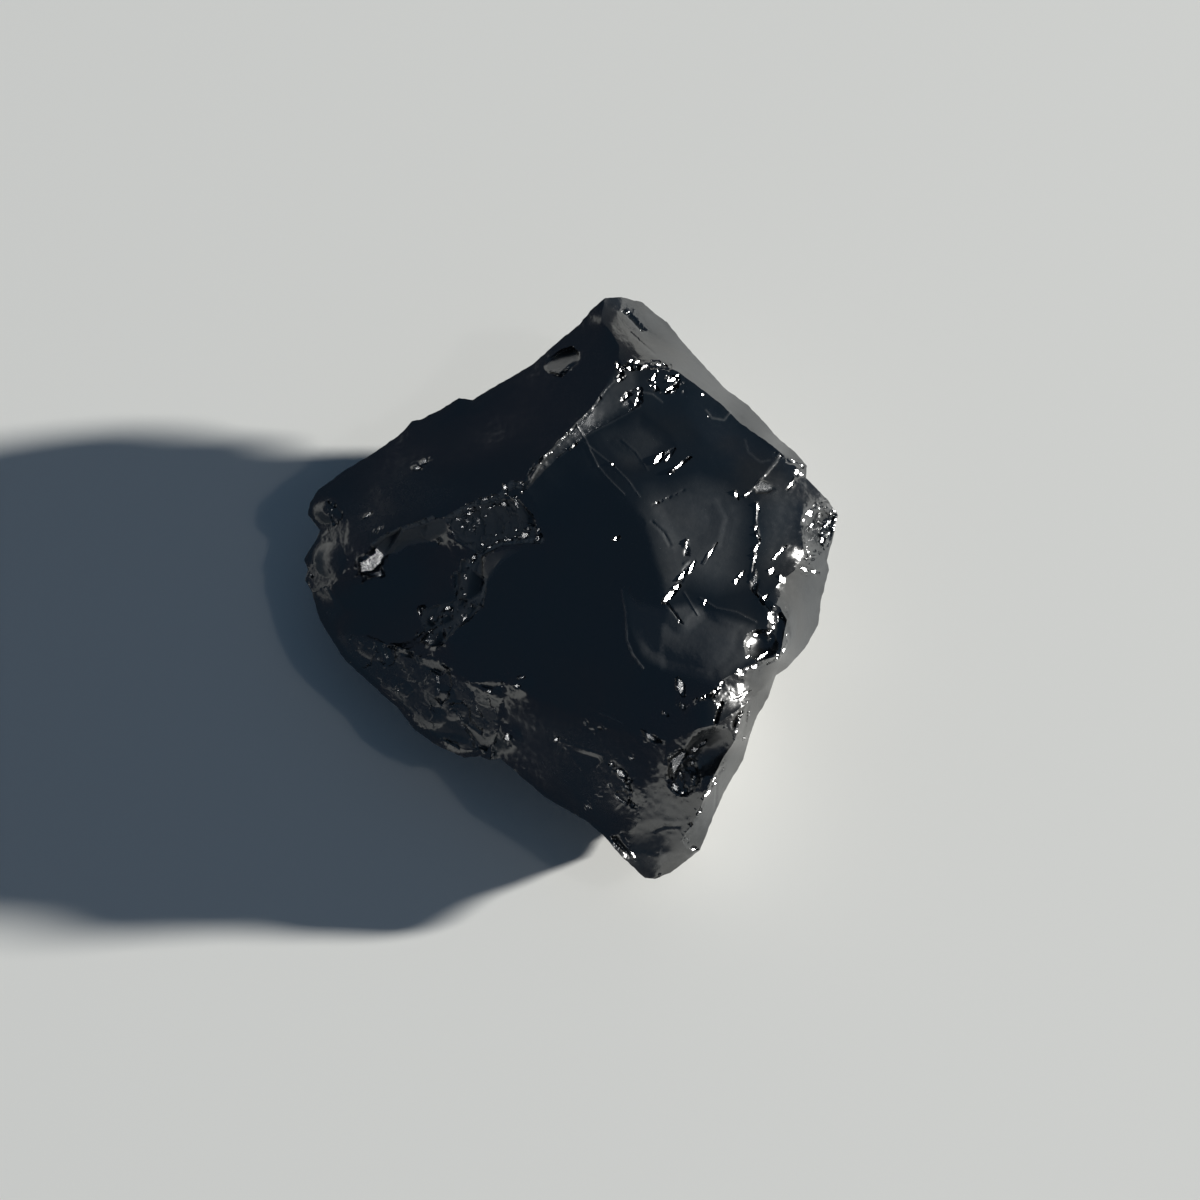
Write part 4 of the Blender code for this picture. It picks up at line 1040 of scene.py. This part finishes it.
def scars(points):
    """Depth and finish of shallow shell-shaped scars that meet in worn ridges, crossed by faint ripples."""
    depth, satin_and_painted_light = np.zeros(len(points)), np.zeros(len(points))
    for index, point in enumerate(points):
        gaps, middles = noise.voronoi(Vector(point) / SCAR_SIZE)
        reach = gaps[0] / SCAR_REACH
        path = (Vector(point) - Vector(RIPPLE_START)).length
        ripple = RIPPLE_DEPTH * cos(2.0 * pi * path / RIPPLE_LENGTH)
        depth[index] = SCAR_DEPTH * max(0.0, 1.0 - reach ** 2) + RIPPLE_DEPTH + ripple
        own = LOWER_SATIN + LOWER_SATIN_SPREAD * noise.cell(middles[0] * SCAR_DRAW)
        ridge = max(0.0, 1.0 - (gaps[1] - gaps[0]) / WORN_RIDGE_WIDTH)
        satin_and_painted_light[index] = max(own, WORN_RIDGE * ridge)
    return depth, satin_and_painted_light


def scar_walls(points, faces, rim_size, top_count):
    """Press shell-shaped scars into the hidden walls and, more lightly, into the face it rests on."""
    hidden = np.arange(len(points)) >= top_count
    resting = points[:, 2] < ON_FLOOR
    pairs = edge_pairs(faces)
    foot_edge = pairs[resting[pairs[:, 0]] != resting[pairs[:, 1]]]
    held = np.unique(np.concatenate([np.arange(rim_size), foot_edge.ravel()]))
    tree = search_tree(points[held])
    gap = np.array([tree.find(point)[2] if below else 0.0 for point, below in zip(points, hidden)])
    depth, satin_and_painted_light = scars(points)
    depth *= np.where(resting, FOOT_SCAR_SHARE, 1.0) * fade_in(gap, SCAR_RIM_MARGIN)
    normals = summed_normals(points, faces)
    normals = normals / np.maximum(np.linalg.norm(normals, axis=1), 1e-9)[:, None]
    out = points - normals * depth[:, None]
    out[:, 2] = np.maximum(out[:, 2], 0.0)
    return out, satin_and_painted_light[hidden]


def nugget_mesh():
    """Join the two sheets along the rim into one closed mesh, set where the CAD solid stands."""
    top, top_faces, rim_size, top_loose = upper_sheet()
    low, low_faces, _, low_loose = lower_sheet()
    points = np.concatenate([top, low[rim_size:]])
    shifted = np.where(low_faces < rim_size, low_faces, low_faces + len(top) - rim_size)
    joined = np.concatenate([top_faces[:, ::-1], shifted])
    loose = np.concatenate([top_loose, low_loose[rim_size:]]) & (points[:, 2] > ON_FLOOR)
    points = even_walls(points, joined, loose)
    points, lower_satin = scar_walls(points, joined, rim_size, len(top))
    shade = BVHTree.FromPolygons(points.tolist(), joined.tolist())
    points[:len(top)], satin_and_painted_light = detail(points[:len(top)], rim_size, shade)
    satin_and_painted_light = np.concatenate([satin_and_painted_light, lower_satin])
    centre = (points.min(0) + points.max(0)) / 2.0
    cad_low, cad_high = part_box("nugget")
    offset = Vector((cad_low + cad_high) / 2.0) - Vector(centre) * MM
    offset.z = cad_low.z - points[:, 2].min() * MM
    mesh = bpy.data.meshes.new("nugget_surface")
    mesh.from_pydata((points * MM + np.array(offset)).tolist(), [], joined.tolist())
    mesh.update()
    # Satin finish per point: wear, and painted light where it is above 1 in spots lying in shade
    mesh.attributes.new("satin_and_painted_light", "FLOAT", "POINT").data.foreach_set("value", satin_and_painted_light)
    mesh.shade_smooth()
    mesh.set_sharp_from_angle(angle=CREASE_ANGLE)
    return mesh, offset


def add_node(tree, kind, **settings):
    """New shader node with its inputs set by name."""
    node = tree.nodes.new(kind)
    for name, value in settings.items():
        node.inputs[name.replace("_", " ")].default_value = value
    return node


def noise_node(tree, size_mm, detail_level=2.0, roughness=0.5):
    """Noise over the stone's own coordinates with features of about the given size."""
    place_node = tree.nodes.new("ShaderNodeTexCoord")
    node = add_node(tree, "ShaderNodeTexNoise", Scale=1000.0 / size_mm, Detail=detail_level,
                    Roughness=roughness)
    tree.links.new(place_node.outputs["Object"], node.inputs["Vector"])
    return node.outputs["Fac"]


def ranged(tree, value, low, high, out_low, out_high):
    """Map one range of a value onto another."""
    node = tree.nodes.new("ShaderNodeMapRange")
    for name, number in (("From Min", low), ("From Max", high), ("To Min", out_low), ("To Max", out_high)):
        node.inputs[name].default_value = number
    tree.links.new(value, node.inputs["Value"])
    return node.outputs["Result"]


def combined(tree, operation, a, b):
    """Arithmetic of two shader values, either of which may be a number."""
    node = tree.nodes.new("ShaderNodeMath")
    node.operation = operation
    for socket, value in zip(node.inputs, (a, b)):
        if isinstance(value, (int, float)):
            socket.default_value = value
        else:
            tree.links.new(value, socket)
    return node.outputs["Value"]


def mixed_colour(tree, share, first, second):
    """Blend of two colours, either of which may be a fixed one."""
    node = tree.nodes.new("ShaderNodeMix")
    node.data_type = "RGBA"
    tree.links.new(share, node.inputs["Factor"])
    for name, value in (("A", first), ("B", second)):
        socket = [s for s in node.inputs if s.name == name and s.type == "RGBA"][0]
        if isinstance(value, tuple):
            socket.default_value = value
        else:
            tree.links.new(value, socket)
    return [s for s in node.outputs if s.type == "RGBA"][0]


def shungite_material():
    """Glassy black carbon: clean fractures mirror the surroundings, worn ones are satin and paler; above a
    finish of 1 the paler colour is painted light.
    """
    material = bpy.data.materials.new("shungite")
    material.use_nodes = True
    tree = material.node_tree
    shader = tree.nodes["Principled BSDF"]
    shader.inputs["Metallic"].default_value = 0.0
    shader.inputs["IOR"].default_value = GLASS_IOR

    satin_and_painted_light = tree.nodes.new("ShaderNodeAttribute")
    satin_and_painted_light.attribute_name = "satin_and_painted_light"
    finish_and_painted_light = satin_and_painted_light.outputs["Fac"]

    clouds = ranged(tree, noise_node(tree, CLOUD_SIZE), 0.4, 0.6, 0.0, 1.0)
    tint = mixed_colour(tree, clouds, GLASS_COOL, GLASS_WARM)
    # Paler colour by the satin finish: wear, and painted light where the finish is above 1
    tint = mixed_colour(tree, combined(tree, "MULTIPLY", finish_and_painted_light, WEAR_AND_PAINTED_LIGHT_SHARE), tint, WEAR_AND_PAINTED_LIGHT_COLOUR)
    tree.links.new(tint, shader.inputs["Base Color"])

    sheen = ranged(tree, noise_node(tree, SHEEN_SIZE), 0.3, 0.7, *SHEEN_ROUGHNESS)
    grit = ranged(tree, noise_node(tree, GRIT_SIZE, 4.0), 0.35, 0.65, *GRIT_ROUGHNESS)
    rough = combined(tree, "ADD", sheen, grit)
    rough = combined(tree, "ADD", rough, combined(tree, "MULTIPLY", finish_and_painted_light, WORN_ROUGHNESS))
    tree.links.new(rough, shader.inputs["Roughness"])

    normal = None
    for size, detail_level, roughness, strength, height in BUMPS:
        bump = add_node(tree, "ShaderNodeBump", Strength=strength, Distance=height)
        tree.links.new(noise_node(tree, size, detail_level, roughness), bump.inputs["Height"])
        if normal is not None:
            tree.links.new(normal, bump.inputs["Normal"])
        normal = bump.outputs["Normal"]
    tree.links.new(normal, shader.inputs["Normal"])
    return material


def paper_material():
    """Plain pale matt sheet."""
    material = bpy.data.materials.new("paper")
    material.use_nodes = True
    shader = material.node_tree.nodes["Principled BSDF"]
    shader.inputs["Base Color"].default_value = PAPER_COLOUR
    shader.inputs["Roughness"].default_value = PAPER_ROUGHNESS
    shader.inputs["Specular IOR Level"].default_value = PAPER_SPECULAR
    return material


def add_object(name, data):
    """New object that is linked to the scene."""
    thing = bpy.data.objects.new(name, data)
    bpy.context.collection.objects.link(thing)
    return thing


def add_stone():
    """The dressed stone; returns where the picture's own origin lies in the frame."""
    mesh, offset = nugget_mesh()
    mesh.materials.append(shungite_material())
    stone = add_object("nugget_surface", mesh)
    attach(stone, "root")
    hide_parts("nugget")
    return offset


def add_floor():
    """Plain sheet under the stone."""
    mesh = bpy.data.meshes.new("floor")
    half = FLOOR_HALF
    corners = [(-half, -half, 0), (half, -half, 0), (half, half, 0), (-half, half, 0)]
    mesh.from_pydata(corners, [], [(0, 1, 2, 3)])
    mesh.materials.append(paper_material())
    add_object("floor", mesh)


def add_camera(offset):
    """Camera where the picture was taken from."""
    data = bpy.data.cameras.new("camera")
    data.sensor_width = SENSOR_WIDTH
    data.lens = SENSOR_WIDTH * VIEW_DISTANCE / PICTURE_SIZE_MM
    data.clip_start = CLIP_START
    camera = add_object("camera", data)
    away = Vector((0.0, -sin(VIEW_TILT), cos(VIEW_TILT))) * VIEW_DISTANCE * MM
    camera.location = away + Vector((offset.x, offset.y, offset.z))
    camera.rotation_euler = (VIEW_TILT, 0.0, 0.0)
    bpy.context.scene.camera = camera


def add_light(name, height, turn, distance, size, power, colour):
    """Round soft light that looks at the stone."""
    toward = Vector(leaning(degrees(turn), 90.0 - degrees(height)))
    data = bpy.data.lights.new(name, "AREA")
    data.shape = "DISK"
    data.size = size
    data.energy = power
    data.color = colour
    light = add_object(name, data)
    light.location = toward * distance
    light.rotation_euler = toward.to_track_quat("Z", "Y").to_euler()


def add_world():
    """Dim navy surroundings, paler towards the horizon."""
    world = bpy.data.worlds.new("world")
    world.use_nodes = True
    tree = world.node_tree
    way = tree.nodes.new("ShaderNodeTexCoord")
    parts = tree.nodes.new("ShaderNodeSeparateXYZ")
    tree.links.new(way.outputs["Generated"], parts.inputs["Vector"])
    share = ranged(tree, parts.outputs["Z"], 0.0, SKY_HIGH_FROM, 0.0, 1.0)
    colour = mixed_colour(tree, share, SKY_LOW, SKY_HIGH)
    tree.links.new(colour, tree.nodes["Background"].inputs["Color"])
    bpy.context.scene.world = world


offset = add_stone()
add_floor()
add_camera(offset)
add_light("key", KEY_HEIGHT, KEY_TURN, KEY_DISTANCE, KEY_SIZE, KEY_POWER, KEY_COLOUR)
add_light("panel", FILL_HEIGHT, FILL_TURN, FILL_DISTANCE, PANEL_SIZE, PANEL_POWER, PANEL_COLOUR)
add_light("core", FILL_HEIGHT, FILL_TURN, FILL_DISTANCE - CORE_AHEAD, CORE_SIZE, CORE_POWER, CORE_COLOUR)
add_world()
bpy.context.scene.view_settings.view_transform = "Standard"
